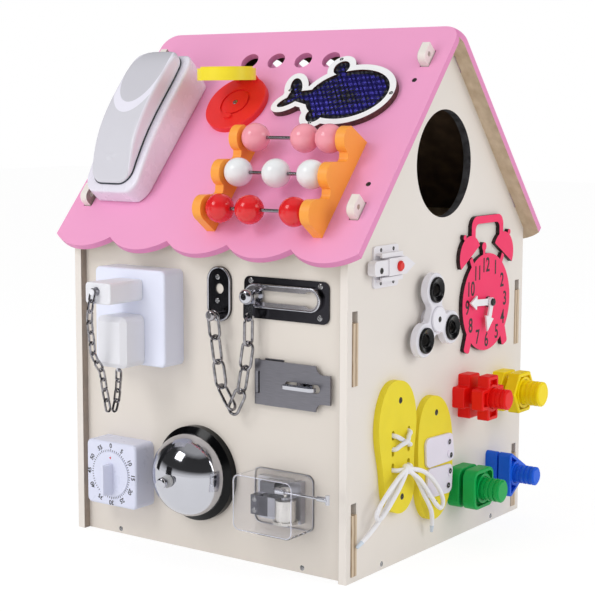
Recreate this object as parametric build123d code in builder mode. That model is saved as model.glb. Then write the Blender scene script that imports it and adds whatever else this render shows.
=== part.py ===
from build123d import *
import os
from math import cos, pi, radians, sin, tan

# Wooden busy board in the shape of a house, in millimetres.
# Origin at the middle of the house on the surface it stands on: +X right along the front,
# front face towards -Y, +Z up.

# ---------------------------------------------------------------- driving dimensions
# House of slotted plywood
HOUSE_W = 300.0            # over the outer faces of the gables
HOUSE_D = 305.6            # gable width, front edge to rear edge
WALL_H = 276.0             # gable height at its front and rear edges
ROOF_ANGLE = 49.0          # slope of the roof boards, degrees
PLY = 7.5                  # wall board
ROOF_T = 6.2               # roof board
FLOOR_T = 8.0
PANEL_RECESS = 7.3         # front and rear panels sit this far inside the gable edges
BOARD_GAP = 0.3            # clearance of a tab in its slot, and of a board under the roof
TAB_PROUD = 1.0            # panel tabs stand this far out of the gable
TAB_H = 52.0               # height of a panel tab
SLOT_H = 62.0              # height of its slot in the gable
SLOT_LOW_Z = 5.0
SLOT_HIGH_Z = 165.0
WINDOW_D = 94.5
WINDOW_Z = 342.5

# Roof boards
ROOF_OVERHANG = 15.0       # past each gable
EAVE_VALLEY = 245.0        # ridge to the valleys between the scallops, down the slope
EAVE_LOBE = 256.5          # ridge to the lowest point of a scallop
LOBE_COUNT = 5
ROOF_CORNER_R = 16.0
VENT_D = 18.0
VENT_PITCH = 30.4
VENT_COUNT = 4
VENT_S = 36.4              # down the slope from the ridge
ROOF_TAB_S = (37.5, 203.0) # gable tabs through the roof, middle of each, down the slope
ROOF_TAB_L = 17.0
ROOF_TAB_PROUD = 11.5
ROOF_TAB_R = 7.0
ROOF_SLOT_GAP = 0.9
PEG_HOLE_D = 4.6

# Toy telephone
PHONE_X = -110.5
PHONE_W = 63.0
HANDSET_W = 47.0
PHONE_TOP_S = 57.0         # ends of the base, down the slope
PHONE_END_S = 208.5
HANDSET_TOP_S = 61.5
HANDSET_END_S = 202.0
PHONE_CORNER_R = 17.0
HANDSET_CORNER_R = 14.0
SEAT_GAP = 0.3             # between a resting piece and what carries it
CRADLE_PEG_D = 14.0
CRADLE_PEG_DEPTH = 6.0
CRADLE_PEG_S = (82.0, 176.0)

# Flip lid
LID_X = -31.5
LID_BASE_S = 91.5
LID_BASE_R = 31.0
LID_BASE_T = 6.0
LID_RING_D = 31.0
LID_RING_W = 2.6
LID_RING_DEPTH = 1.4
LID_HINGE_S = 64.5
LID_HINGE_UP = 2.4         # hinge axis above the base disc
LID_KNUCKLE_R = 2.1
LID_KNUCKLE_W = 14.0
LID_EAR_W = 4.0
LID_EAR_R = 2.4
LID_PIN_R = 1.0
HINGE_FIT = 0.08           # radial running fit of a pin
LID_COVER_R = 26.5
LID_COVER_T = 10.7
LID_COVER_WALL = 1.6
LID_DISC_R = 23.7
LID_DISC_T = 1.5
LID_OPEN = 48.0            # rest pose, degrees open

# Abacus
BRACKET_X = (9.0, 120.0)
BRACKET_T = 9.0
ROD_S = (144.5, 183.0, 222.0)
ROD_N = 20.5               # rod height above the roof board
ROD_D = 3.0
ROD_SOCKET = 6.0           # depth of a rod in its bracket
ROD_SOCKET_GAP = 0.05
BEAD_D = 25.0
BEAD_L = 24.0
BEAD_BORE_GAP = 0.10
BEAD_X = {
    "bead_top": (26.0, 77.6, 102.8),
    "bead_middle": (26.3, 66.0, 102.0),
    "bead_bottom": (26.0, 57.2, 102.6),
}
BRACKET_FOOT_N = 11.8      # bracket height in the valleys between rods
BRACKET_LOBE = 9.5         # lobe of the bracket past the rod
VALLEY_R = 4.0

# Sequin fish-tailed figure: a generic whale
WHALE_CENTRE = (86.0, 82.5)
WHALE_RX = 41.0
WHALE_RS = 28.0
WHALE_RIM = 6.0
WHALE_T = 6.0
SEQUIN_T = 4.0
FABRIC_GAP = 0.3

# Socket and plugs on the front panel
SOCKET_X = -67.8
SOCKET_Z = 208.2
SOCKET_W = 81.0
SOCKET_H = 85.0
SOCKET_DEPTH = 26.0
SOCKET_R = 5.0
SOCKET_EDGE_R = 2.5
PLUG_UP_X = -66.5
PLUG_UP_Z = 232.8
PLUG_UP_W = 29.0
PLUG_UP_H = 18.6
PLUG_UP_L = 41.7
PLUG_HOLE_X = -68.0
PLUG_HOLE_Z = 234.5
PLUG_HOLE_D = 8.0
PLUG_HOLE_DEPTH = 12.0
PLUG_POST_R = 1.0          # post in the hole that carries the chain
PLUG_POST_HEAD_R = 2.6
LUG_X = -64.7              # lug under the lower plug
LUG_H = 44.0
LUG_DROP = 2.2             # lug hole below the plug
LUG_R = 2.5
LUG_HOLE_R = 1.3
LUG_T = 1.2
PLUG_LOW_X = -67.0
PLUG_LOW_Z = 188.6
PLUG_LOW_W = 34.0
PLUG_LOW_H = 45.0
PLUG_LOW_L = 27.7
PIN_W = 6.4
PIN_T = 1.8
PIN_L = 12.0
PIN_PITCH = 12.7
PIN_GAP = 0.3
PLUG_CORNER_R = 3.0
PLUG_EDGE_R = 1.5
PLUG_LOW_R = 6.0
PLUG_LOW_BEVEL = 4.5

# Small chain on the plugs
LINK_S_W = 7.0             # outer width of a link
LINK_S_WIRE = 1.4
LINK_S_PITCH = 9.8
LINK_S_PLAY = 0.4
PLUG_CHAIN_H = 71.5        # distance of the first link in front of the panel
PLUG_CHAIN_UPPER = (       # route below the post: x, height, distance in front
    (-70.0, 225.0, 72.4), (-72.5, 213.0, 72.0), (-73.0, 200.0, 70.5), (-72.8, 190.0, 69.0),
    (-73.5, 176.0, 66.0), (-73.1, 165.0, 57.5), (-73.6, 152.0, 54.0), (-72.6, 139.0, 52.0),
    (-71.6, 127.5, 50.5),
)
PLUG_CHAIN_LOWER = ((-65.6, 152.0, 43.5), (-66.0, 139.0, 45.0), (-68.0, 127.5, 46.5))
PLUG_POST_PLAY = 0.3       # above the post
PLUG_HEAD_PLAY = 1.0       # between the first link and the post's head

# Door chain
CHAIN_H = 12.0             # chain plane in front of the panel
LINK_WIRE = 2.6
LINK_W = 13.5
LINK_PITCH = 21.2          # from one contact point to the next
LINK_PLAY = 0.3
ANCHOR_Z = 232.0
ANCHOR_W = 25.0
ANCHOR_H = 48.0
ANCHOR_T = 1.6
ANCHOR_RIM = 1.2
ANCHOR_RIM_W = 1.8
ANCHOR_HOLE_D = 9.0
ANCHOR_HOLE_Z = 236.6
STUD_Z = 214.6
STUD_R = 2.2
STUD_HEAD_R = 4.8
STUD_HEAD_T = 4.0
LEFT_ANGLES = (6.5, 8.7, 9.8, 33.5)     # lean of each link from the vertical, from the top
RIGHT_ANGLES = (-0.8, -9.9, -10.4, -28.0)
TRACK_FROM_EDGE = 65.5     # middle of the plate to the outer face of the gable
TRACK_X = HOUSE_W / 2 - TRACK_FROM_EDGE
TRACK_Z = 232.0
TRACK_W = 87.0
TRACK_H = 35.5
TRACK_T = 1.6
TRACK_SLOT_Z = 234.0
TRACK_REACH = (30.3, 27.3) # middle of the plate to the middles of the slot's round ends
TRACK_ENDS = (TRACK_X - TRACK_REACH[0], TRACK_X + TRACK_REACH[1])
TRACK_SLOT_H = 10.0
TRACK_RIM_W = 5.2          # rim around the slot
TRACK_CORNER_R = 6.0
TRACK_RIM_H = 5.5
TRACK_LIP = 2.4            # thickness of the rim over the slider's foot
TRACK_CHANNEL_H = 16.4
KEYHOLE_D = 14.4
SLIDER_REST = 0.4          # from the slot's end, where the slider rests
SLIDER_X = TRACK_ENDS[0] + SLIDER_REST
SLIDER_FOOT_D = 13.4
SLIDER_FOOT_T = 2.2
SLIDER_NECK_D = 9.2
SLIDER_STEM_R = 3.4
SLIDER_COLLAR = 0.9
SLIDER_HEAD_R = 6.5
SLIDER_HEAD_H = (15.2, 20.6)
SLIDER_HEAD_EDGE = 0.8
SLIDER_HEAD_ROUND = 3.8
EYE_ASIDE = 1.0            # eye beside the slider's middle
EYE_X = SLIDER_X - EYE_ASIDE
EYE_Z = 217.2
EYE_R = 4.9
EYE_HOLE_R = 2.6
EYE_T = 2.4
CHAIN_SPAN = 38.4          # from the stud to the slider's eye
STUD_X = EYE_X - CHAIN_SPAN
STUD_ASIDE = 1.0           # stud beside the anchor's middle
ANCHOR_X = STUD_X - STUD_ASIDE

# Hasp
HASP_FROM_EDGE = 94.2      # pin to the outer face of the gable
HASP_PIN_X = HOUSE_W / 2 - HASP_FROM_EDGE
HASP_PIN_H = 2.6
HASP_PIN_R = 1.2
HASP_ROLL_R = 2.3
HASP_Z = 160.5             # middle of the strap
STRAP_H = 38.5
STRAP_T = 1.4
STRAP_L = 76.0             # this and the next lengths are measured from the pin
STRAP_X = (HASP_PIN_X, HASP_PIN_X + STRAP_L)
STRAP_SHOULDER_L = 68.7
STRAP_SHOULDER_X = HASP_PIN_X + STRAP_SHOULDER_L
STRAP_END_H = 24.5
STRAP_SLOT_L = (30.2, 66.0)
STRAP_SLOT_X = (HASP_PIN_X + STRAP_SLOT_L[0], HASP_PIN_X + STRAP_SLOT_L[1])
STRAP_SLOT_H = 7.2
HINGE_SLOT_L = 4.2
HINGE_SLOT_X = HASP_PIN_X + HINGE_SLOT_L
HINGE_SLOT_H = 19.0
LEAF_L = 26.2
LEAF_X = HASP_PIN_X + LEAF_L
LEAF_T = 1.2
LEAF_H = 40.6
LEAF_EAR_L = 7.2
LEAF_EAR_X = HASP_PIN_X + LEAF_EAR_L
STAPLE_L = 48.0
STAPLE_X = HASP_PIN_X + STAPLE_L
STAPLE_HALF = 16.4         # half length of the loop, over the wire
STAPLE_WIRE = 3.0
STAPLE_INNER_WIRE = 2.4
STAPLE_LOOP_H = (5.4, 14.0)
STAPLE_POST_R = 2.6
STAPLE_WASHER_R = 8.0
STAPLE_WASHER_T = 1.2
STRAP_CORNER_R = 5.0
STRAP_LIP_H = 2.2          # drop of the bent free end

# Kitchen timer
TIMER_X = -92.5
TIMER_Z = 62.2
TIMER_W = 59.0
TIMER_DEPTH = 25.0
TIMER_R = 5.0
TIMER_EDGE_R = 2.5
DIAL_R = 20.5
DIAL_T = 3.6
DIAL_EDGE = 0.8
GRIP_W = 6.0
GRIP_INSET = 0.7
GRIP_H = 8.5
DIAL_SPINDLE_R = 3.0
DIAL_SPINDLE_L = 12.0

# Desk bell
BELL_X = -10.5
BELL_Z = 71.5
BELL_BASE_R = 42.0
BELL_BASE_H = 11.0
BELL_DOME_R = 36.7
BELL_RIM_H = 12.0
BELL_TOP_H = 42.0
BELL_WALL = 1.2
BELL_POST_R = 4.5
BELL_NECK_R = 3.2
BELL_NUT_R = 5.5
BELL_NUT_T = 2.8
BELL_STEM_L = 26.0
BELL_BUTTON_T = 4.0
BELL_STEM_R = 2.0
BELL_TRAVEL = 4.0
BELL_BUTTON_R = 4.6

# Music box
CASE_X = (51.0, 113.3)
CASE_Z = (36.5, 86.0)
CASE_DEPTH = 33.0
CASE_WALL = 1.8
CASE_R = 7.0
CASE_EDGE_R = 2.5
BED_X = (60.0, 104.0)
BED_Z = (44.0, 80.0)
BED_H = (0.3, 7.0)
DRUM_X = 96.4
DRUM_AXIS_H = 18.0
DRUM_R = 8.4
DRUM_Z = (50.0, 66.5)
ARBOR_R = 1.4
BEARING_R = 3.6
BEARING_T = 2.0
WHEEL_R = 4.3              # wheel driven by the worm
WHEEL_T = 3.0
WORM_R = 2.4
WORM_L = 9.0
GOVERNOR = (15.0, 9.0, 12.0)
GEAR_R = 10.5
GEAR_TOOTH = 1.2
GEAR_Z = (46.6, 49.0)
GEAR_TEETH = 30
COMB_X = (61.8, 87.2)
COMB_Z = (49.8, 66.4)
COMB_H = 19.0
COMB_T = 1.2
COMB_TEETH = 18
COMB_ROOT = 7.0
COMB_SLIT = 0.3
CRANK_Z = 75.0
CRANK_H = 25.0
CRANK_R = 1.1
CRANK_BEARING_R = 2.2
CRANK_SLEEVE_R = 2.3
CRANK_SLEEVE_X = (134.0, 143.5)
CRANK_CROSS_R = 1.8
CRANK_CROSS_L = 8.0

# Latch on the right gable
LATCH_Y = -97.7
LATCH_Z = 260.5
LATCH_W = 38.5
LATCH_HT = 35.0
LATCH_T = 2.0
LATCH_CORNER_R = 3.0
SLIDE_Y = (-106.0, -65.0)
SLIDE_TAPER_Y = -79.0      # where the slide begins to narrow to its point
SLIDE_HT = 19.0
SLIDE_H = (2.4, 6.0, 10.4) # back, top of the flange under the rails, front
SLIDE_STEP = 2.2           # flange beside the raised body
BOLT_Y = -127.0
BOLT_HT = 12.6
BOLT_DEPTH = 7.0
LATCH_RAIL_T = 2.0
LATCH_RAIL_H = 8.2
LATCH_RAIL_LIP = 1.6
LATCH_TRAVEL = 12.0
LATCH_BUTTON_Y = -89.5
LATCH_BUTTON_R = 4.4
LATCH_BUTTON_T = 2.4

# Fidget spinner
SPIN_Y = -29.0
SPIN_Z = 209.0
SPIN_ARM = 26.3
SPIN_LOBE_R = 14.8
SPIN_HUB_R = 13.5
SPIN_T = 7.0
SPIN_BACK_H = 5.5
SPIN_START = 98.2
CAP_R = 11.2
CAP_HOLE_R = 5.6
SPIN_AXLE_R = 4.0
SPIN_CAP_R = 11.5
SPIN_CAP_T = 1.6
SPIN_SPACER_R = 8.0
SPIN_WEB_R = 5.0
CAP_PROUD = 0.7

# Alarm clock face
CLOCK_Y = 74.3
CLOCK_Z = 213.0
CLOCK_R = 45.0
CLOCK_T = 4.0
CLOCK_BELL_R = 19.5        # half-round bells on top
CLOCK_BELL_X = 31.5
CLOCK_BELL_Z = 43.5
CLOCK_BELL_TILT = 30.0
CLOCK_KNOB_R = 2.5
CLOCK_HANDLE = (23.0, 35.0, 80.0, 7.0)  # half width, lower and upper height, bar width
CLOCK_STEM_W = 4.0
CLOCK_HAMMER_R = 4.0
CLOCK_FOOT = (33.3, 39.0, 10.6)         # out, down, width
HAND_T = 1.6
HAND_GAP = 0.5
HAND_HUB_R = 4.2
HAND_W = 6.0
HOUR_HAND = (36.5, 273.5, 13.0)         # length, angle from 12 o'clock, arrow width
MINUTE_HAND = (27.6, 197.0, 15.0)
CLOCK_PIN_R = 2.0
CLOCK_PIN_Y = 75.4
CLOCK_SPACER_R = 5.0
CLOCK_SPACER_T = 1.4

# Shoes
SOLE_T = 6.0
SOLE_LEFT = (
    (-85.5, 162.3), (-60.0, 150.0), (-52.5, 124.0), (-56.0, 90.0), (-57.0, 58.0), (-68.0, 47.5),
    (-81.0, 46.5), (-100.0, 60.0), (-105.0, 83.0), (-112.5, 115.0), (-107.0, 148.0),
)
SOLE_RIGHT = (
    (-22.6, 140.0), (-3.0, 131.0), (9.0, 108.0), (11.0, 85.0), (10.0, 58.0), (0.0, 36.0),
    (-18.0, 28.0), (-34.0, 33.0), (-45.0, 50.0), (-48.5, 85.0), (-46.0, 122.0), (-37.0, 136.0),
)
STRAP_FLAP_T = 2.0
FLAP_UPPER = ((-39.5, 104.0), (6.9, 102.4), (11.6, 77.0), (-37.6, 77.5))
FLAP_LOWER = ((-36.3, 76.4), (8.5, 73.9), (6.6, 48.0), (-36.0, 50.0))
FLAP_R = 6.0
RIVET_R = 3.0
RIVET_T = 0.9
LACE_D = 3.5
LACE_HOLE_D = 4.3
LACE_PASS = 1.95           # two passes of the lace lie this far off the middle of a hole
LACE_HOLE_Y = (-90.5, -65.0)
LACE_HOLE_Z = (116.0, 102.0, 88.0)
LACE_DIVE = 3.6            # lace end inside its hole, outside the gable
LACE_LOW = 8.2             # lace lying on the sole
LACE_HIGH = 13.4           # lace crossing over another
KNOT_AT = (-79.0, 86.0, 12.6)
KNOT_R = 5.0
KNOT_GAP = 0.02

# Toy bolts and nuts
BOLT_LEN = 47.0            # over head and shank, from the gable
HEAD_T = 12.0
NUT_WALL = 3.2
NUT_RECESS = 4.0           # depth of the hollow in the nut's outer face
NUT_COLLAR = 2.6           # ring left around the thread inside that hollow
NUT_GAP = 0.5
NUT_EDGE_R = 1.2
RIDGE_PITCH = 4.6
RIDGE_H = 0.9
RIDGE_COUNT = 5
RED_AT = (40.0, 131.0)
RED_W = 40.0
RED_ARM = 19.0
RED_SHANK_R = 9.2
RED_NUT = (20.0, 31.0)     # back and front face, from the gable
YELLOW_AT = (108.0, 125.6)
YELLOW_R = 21.5
YELLOW_SHANK_R = 11.6
YELLOW_NUT = (17.0, 28.0)
GREEN_AT = (31.5, 49.0)
GREEN_W = 36.0
GREEN_R = 8.0
GREEN_SHANK_R = 10.4
GREEN_NUT = (16.0, 28.0)
BLUE_AT = (98.5, 49.5)
BLUE_SIDE = 47.0
BLUE_R = 4.0
BLUE_SHANK_R = 8.6
BLUE_NUT = (14.0, 26.0)

# ---------------------------------------------------------------- planes and helpers
C = cos(radians(ROOF_ANGLE))
S = sin(radians(ROOF_ANGLE))
APEX_Z = WALL_H + HOUSE_D / 2 * tan(radians(ROOF_ANGLE))
RIDGE_Z = APEX_Z + ROOF_T / C
FRONT_Y = HOUSE_D / 2 - PANEL_RECESS
GABLE_X = HOUSE_W / 2
INNER_X = GABLE_X - PLY

FRONT = Plane(origin=(0, -FRONT_Y, 0), x_dir=(1, 0, 0), z_dir=(0, -1, 0))
GABLE = Plane(origin=(GABLE_X, 0, 0), x_dir=(0, 1, 0), z_dir=(1, 0, 0))
ROOF = Plane(origin=(0, 0, RIDGE_Z), x_dir=(1, 0, 0), z_dir=(0, -S, C))

os.makedirs("parts", exist_ok=True)


def save(part, name):
    """Label a finished piece and write it to its own file."""
    part.label = name
    export_step(part, f"parts/{name}.step")


def front_at(h):
    """Plane parallel to the front panel, h in front of it."""
    return FRONT.offset(h)


def gable_at(h):
    """Plane parallel to the right gable, h outside it."""
    return GABLE.offset(h)


def roof_at(n):
    """Plane parallel to the front roof board, n above it."""
    return ROOF.offset(n)


def roof_side(x):
    """Side view of the roof at x: local x runs down the slope, local y stands off the board."""
    return Plane(origin=(x, 0, RIDGE_Z), x_dir=(0, -C, -S), z_dir=(-1, 0, 0))


def front_side(x):
    """Side view of the front panel at x: local x is the distance in front, local y is height."""
    return Plane(origin=(x, -FRONT_Y, 0), x_dir=(0, -1, 0), z_dir=(-1, 0, 0))


def front_top(z):
    """Top view of the front panel at height z: local x runs right, local y runs out in front."""
    return Plane(origin=(0, -FRONT_Y, z), x_dir=(1, 0, 0), z_dir=(0, 0, -1))


# ---------------------------------------------------------------- house
def roof_tab(side, s):
    """Tab on a gable slope (side -1 front, +1 rear), lower corner rounded, with a peg hole."""
    place = Plane(
        origin=(GABLE_X - PLY / 2, side * s * C, RIDGE_Z - s * S),
        x_dir=(0, side * C, -S),
        z_dir=(side, 0, 0),
    )
    half = ROOF_TAB_L / 2
    with BuildPart() as tab:
        with BuildSketch(place):
            with BuildLine():
                Polyline(
                    (half - ROOF_TAB_R, ROOF_TAB_PROUD),
                    (-half, ROOF_TAB_PROUD),
                    (-half, -ROOF_T - PLY),
                    (half, -ROOF_T - PLY),
                    (half, ROOF_TAB_PROUD - ROOF_TAB_R),
                )
                RadiusArc(
                    (half, ROOF_TAB_PROUD - ROOF_TAB_R),
                    (half - ROOF_TAB_R, ROOF_TAB_PROUD),
                    -ROOF_TAB_R,
                )
            make_face()
            with Locations((0, ROOF_TAB_PROUD / 2)):
                Circle(PEG_HOLE_D / 2, mode=Mode.SUBTRACT)
        extrude(amount=PLY / 2, both=True)
    return tab.part


roof_tabs = [roof_tab(side, s) for side in (-1, 1) for s in ROOF_TAB_S]

with BuildPart() as gable_blank:
    with BuildSketch(GABLE):
        with BuildLine():
            Polyline(
                (-HOUSE_D / 2, 0),
                (HOUSE_D / 2, 0),
                (HOUSE_D / 2, WALL_H),
                (0, APEX_Z),
                (-HOUSE_D / 2, WALL_H),
                close=True,
            )
        make_face()
        panel_mid = FRONT_Y - PLY / 2
        for slot_z in (SLOT_LOW_Z, SLOT_HIGH_Z):
            with Locations((-panel_mid, slot_z), (panel_mid, slot_z)):
                Rectangle(
                    PLY + 2 * BOARD_GAP,
                    SLOT_H,
                    align=(Align.CENTER, Align.MIN),
                    mode=Mode.SUBTRACT,
                )
    extrude(amount=-PLY)
    add(roof_tabs)

with BuildPart() as gable_left:
    mirror(gable_blank.part, about=Plane.YZ)
save(gable_left.part, "gable_left")

with BuildPart() as gable_right:
    add(gable_blank.part)
    with BuildSketch(GABLE):
        with Locations((0, WINDOW_Z)):
            Circle(WINDOW_D / 2)
    extrude(amount=-PLY, mode=Mode.SUBTRACT)
save(gable_right.part, "gable_right")

with BuildPart() as front_panel:
    panel_top = WALL_H + PANEL_RECESS * tan(radians(ROOF_ANGLE)) - BOARD_GAP
    with BuildSketch(FRONT):
        Rectangle(2 * INNER_X, panel_top, align=(Align.CENTER, Align.MIN))
        with Locations((0, SLOT_LOW_Z + BOARD_GAP), (0, SLOT_HIGH_Z + BOARD_GAP)):
            Rectangle(HOUSE_W + 2 * TAB_PROUD, TAB_H, align=(Align.CENTER, Align.MIN))
    extrude(amount=-PLY)
save(front_panel.part, "front_panel")

with BuildPart() as rear_panel:
    mirror(front_panel.part, about=Plane.XZ)
save(rear_panel.part, "rear_panel")

with BuildPart() as floor_board:
    with BuildSketch():
        Rectangle(2 * INNER_X, 2 * (FRONT_Y - PLY))
    extrude(amount=FLOOR_T)
save(floor_board.part, "floor_board")

# ---------------------------------------------------------------- roof
with BuildPart() as roof_front:
    roof_half = GABLE_X + ROOF_OVERHANG
    lobe_pitch = 2 * roof_half / LOBE_COUNT
    with BuildSketch(ROOF) as roof_outline:
        with BuildLine():
            for lobe in range(LOBE_COUNT):
                lobe_x = -roof_half + lobe * lobe_pitch
                ThreePointArc(
                    (lobe_x, -EAVE_VALLEY),
                    (lobe_x + lobe_pitch / 2, -EAVE_LOBE),
                    (lobe_x + lobe_pitch, -EAVE_VALLEY),
                )
            Polyline(
                (roof_half, -EAVE_VALLEY),
                (roof_half, 0),
                (-roof_half, 0),
                (-roof_half, -EAVE_VALLEY),
            )
        make_face()
        fillet(roof_outline.vertices().group_by(Axis.Y)[-1], ROOF_CORNER_R)
        with Locations((0, -VENT_S)):
            with GridLocations(VENT_PITCH, 1, VENT_COUNT, 1):
                Circle(VENT_D / 2, mode=Mode.SUBTRACT)
        for tab_s in ROOF_TAB_S:
            with Locations((GABLE_X - PLY / 2, -tab_s), (-GABLE_X + PLY / 2, -tab_s)):
                Rectangle(
                    PLY + 2 * ROOF_SLOT_GAP,
                    ROOF_TAB_L + 2 * ROOF_SLOT_GAP,
                    mode=Mode.SUBTRACT,
                )
    extrude(amount=-ROOF_T)
    split(bisect_by=Plane.XZ, keep=Keep.TOP)
save(roof_front.part, "roof_front")

with BuildPart() as roof_rear:
    mirror(roof_front.part, about=Plane.XZ)
save(roof_rear.part, "roof_rear")

# ---------------------------------------------------------------- toy telephone
# The seam between base and handset, as distance down the slope and height off the board.
SEAM = ((64.0, 35.6), (91.0, 33.4), (129.0, 32.6), (154.0, 30.4), (178.0, 26.0), (208.5, 18.5))
HANDSET_TOP = ((61.5, 43.0), (78.0, 49.0), (105.0, 50.5), (134.0, 49.0), (163.0, 43.0),
               (188.0, 31.0), (202.0, 22.0))


def plan(centre_x, start_s, end_s, width, corner):
    """Rounded rectangle seen from above the roof, drawn just below the board's face."""
    with BuildSketch(roof_at(-1)) as outline:
        with Locations((centre_x, -(start_s + end_s) / 2)):
            RectangleRounded(width, end_s - start_s, corner)
    return outline.sketch


with BuildPart() as phone_base:
    with BuildSketch(roof_side(PHONE_X)):
        with BuildLine():
            Spline(*SEAM)
            Polyline(SEAM[-1], (PHONE_END_S - 2, 0), (PHONE_TOP_S + 11, 0), (PHONE_TOP_S, 29))
            ThreePointArc((PHONE_TOP_S, 29), (PHONE_TOP_S + 2, 33.6), SEAM[0])
        make_face()
    extrude(amount=PHONE_W / 2, both=True)
    base_plan = plan(PHONE_X, PHONE_TOP_S - 1, PHONE_END_S + 1, PHONE_W, PHONE_CORNER_R)
    extrude(base_plan, amount=60, mode=Mode.INTERSECT)
    for peg_s in CRADLE_PEG_S:
        with BuildSketch(roof_at(18)):
            with Locations((PHONE_X, -peg_s)):
                Circle(CRADLE_PEG_D / 2 + SEAT_GAP)
        extrude(amount=30, mode=Mode.SUBTRACT)
save(phone_base.part, "phone_base")

with BuildPart() as phone_handset:
    lifted_seam = [(s, n + SEAT_GAP) for s, n in SEAM]
    with BuildSketch(roof_side(PHONE_X)):
        with BuildLine():
            Spline(*lifted_seam)
            Spline(*HANDSET_TOP)
            Line(lifted_seam[0], HANDSET_TOP[0])
            Line(lifted_seam[-1], HANDSET_TOP[-1])
        make_face()
    extrude(amount=HANDSET_W / 2, both=True)
    handset_plan = plan(PHONE_X, HANDSET_TOP_S, HANDSET_END_S, HANDSET_W, HANDSET_CORNER_R)
    extrude(handset_plan, amount=60, mode=Mode.INTERSECT)
    for peg_s in CRADLE_PEG_S:
        with BuildSketch(roof_at(24)):
            with Locations((PHONE_X, -peg_s)):
                Circle(CRADLE_PEG_D / 2)
        extrude(amount=12)
save(phone_handset.part, "phone_handset")

# ---------------------------------------------------------------- flip lid
HINGE_N = LID_BASE_T + LID_HINGE_UP

with BuildPart() as flip_lid_base:
    with BuildSketch(ROOF):
        with Locations((LID_X, -LID_BASE_S)):
            Circle(LID_BASE_R)
    extrude(amount=LID_BASE_T)
    chamfer(flip_lid_base.faces().sort_by(Axis(ROOF.origin, ROOF.z_dir))[-1].edges(), 0.8)
    with BuildSketch(roof_at(LID_BASE_T)):
        with Locations((LID_X, -LID_BASE_S)):
            Circle(LID_RING_D / 2)
            Circle(LID_RING_D / 2 - LID_RING_W, mode=Mode.SUBTRACT)
    extrude(amount=-LID_RING_DEPTH, mode=Mode.SUBTRACT)
    with BuildSketch(roof_at(LID_BASE_T - 1)):
        with Locations((LID_X, -(LID_BASE_S + 17.5))):
            SlotOverall(9, 5)
    extrude(amount=3)
    ear_mid = LID_KNUCKLE_W / 2 + SEAT_GAP + LID_EAR_W / 2
    for ear_x in (LID_X - ear_mid, LID_X + ear_mid):
        with BuildSketch(roof_side(ear_x)):
            with Locations((LID_HINGE_S, HINGE_N)):
                Circle(LID_EAR_R)
            with Locations((LID_HINGE_S, HINGE_N / 2 + LID_BASE_T / 4)):
                Rectangle(2 * LID_EAR_R, HINGE_N - LID_BASE_T / 2)
        extrude(amount=LID_EAR_W / 2, both=True)
    with BuildSketch(roof_side(LID_X)):
        with Locations((LID_HINGE_S, HINGE_N)):
            Circle(LID_PIN_R)
    extrude(amount=ear_mid, both=True)
save(flip_lid_base.part, "flip_lid_base")

# The cover is drawn at its resting angle: origin on the hinge axis, local y towards the ridge.
lid_hinge = ROOF.origin + ROOF.z_dir * HINGE_N - ROOF.y_dir * LID_HINGE_S + ROOF.x_dir * LID_X
lid_tilt = radians(ROOF_ANGLE - LID_OPEN)
LID = Plane(origin=lid_hinge, x_dir=(1, 0, 0), z_dir=(0, -sin(lid_tilt), cos(lid_tilt)))
LID_RIM_N = SEAT_GAP + LID_BASE_T - HINGE_N

with BuildPart() as flip_lid_cover:
    cover_y = -(LID_COVER_R + LID_KNUCKLE_R + HINGE_FIT)
    with BuildSketch(LID.offset(LID_RIM_N)):
        with Locations((0, cover_y)):
            Circle(LID_COVER_R)
    extrude(amount=LID_COVER_T)
    with BuildSketch(LID.offset(LID_RIM_N + LID_COVER_T)):
        with Locations((0, cover_y)):
            Circle(LID_DISC_R)
    extrude(amount=LID_DISC_T)
    with BuildSketch(LID.offset(LID_RIM_N)):
        with Locations((0, cover_y)):
            Circle(LID_COVER_R - LID_COVER_WALL)
    extrude(amount=LID_COVER_T - LID_COVER_WALL, mode=Mode.SUBTRACT)
    lid_side = Plane(origin=lid_hinge, x_dir=-LID.y_dir, z_dir=(-1, 0, 0))
    with BuildSketch(lid_side):
        Circle(LID_KNUCKLE_R)
        with Locations((LID_KNUCKLE_R + LID_COVER_WALL / 2, 0)):
            Rectangle(2 * LID_KNUCKLE_R + LID_COVER_WALL, 1.6 * LID_KNUCKLE_R)
        Circle(LID_PIN_R + HINGE_FIT, mode=Mode.SUBTRACT)
    extrude(amount=LID_KNUCKLE_W / 2, both=True)
save(flip_lid_cover.part, "flip_lid_cover")

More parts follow.
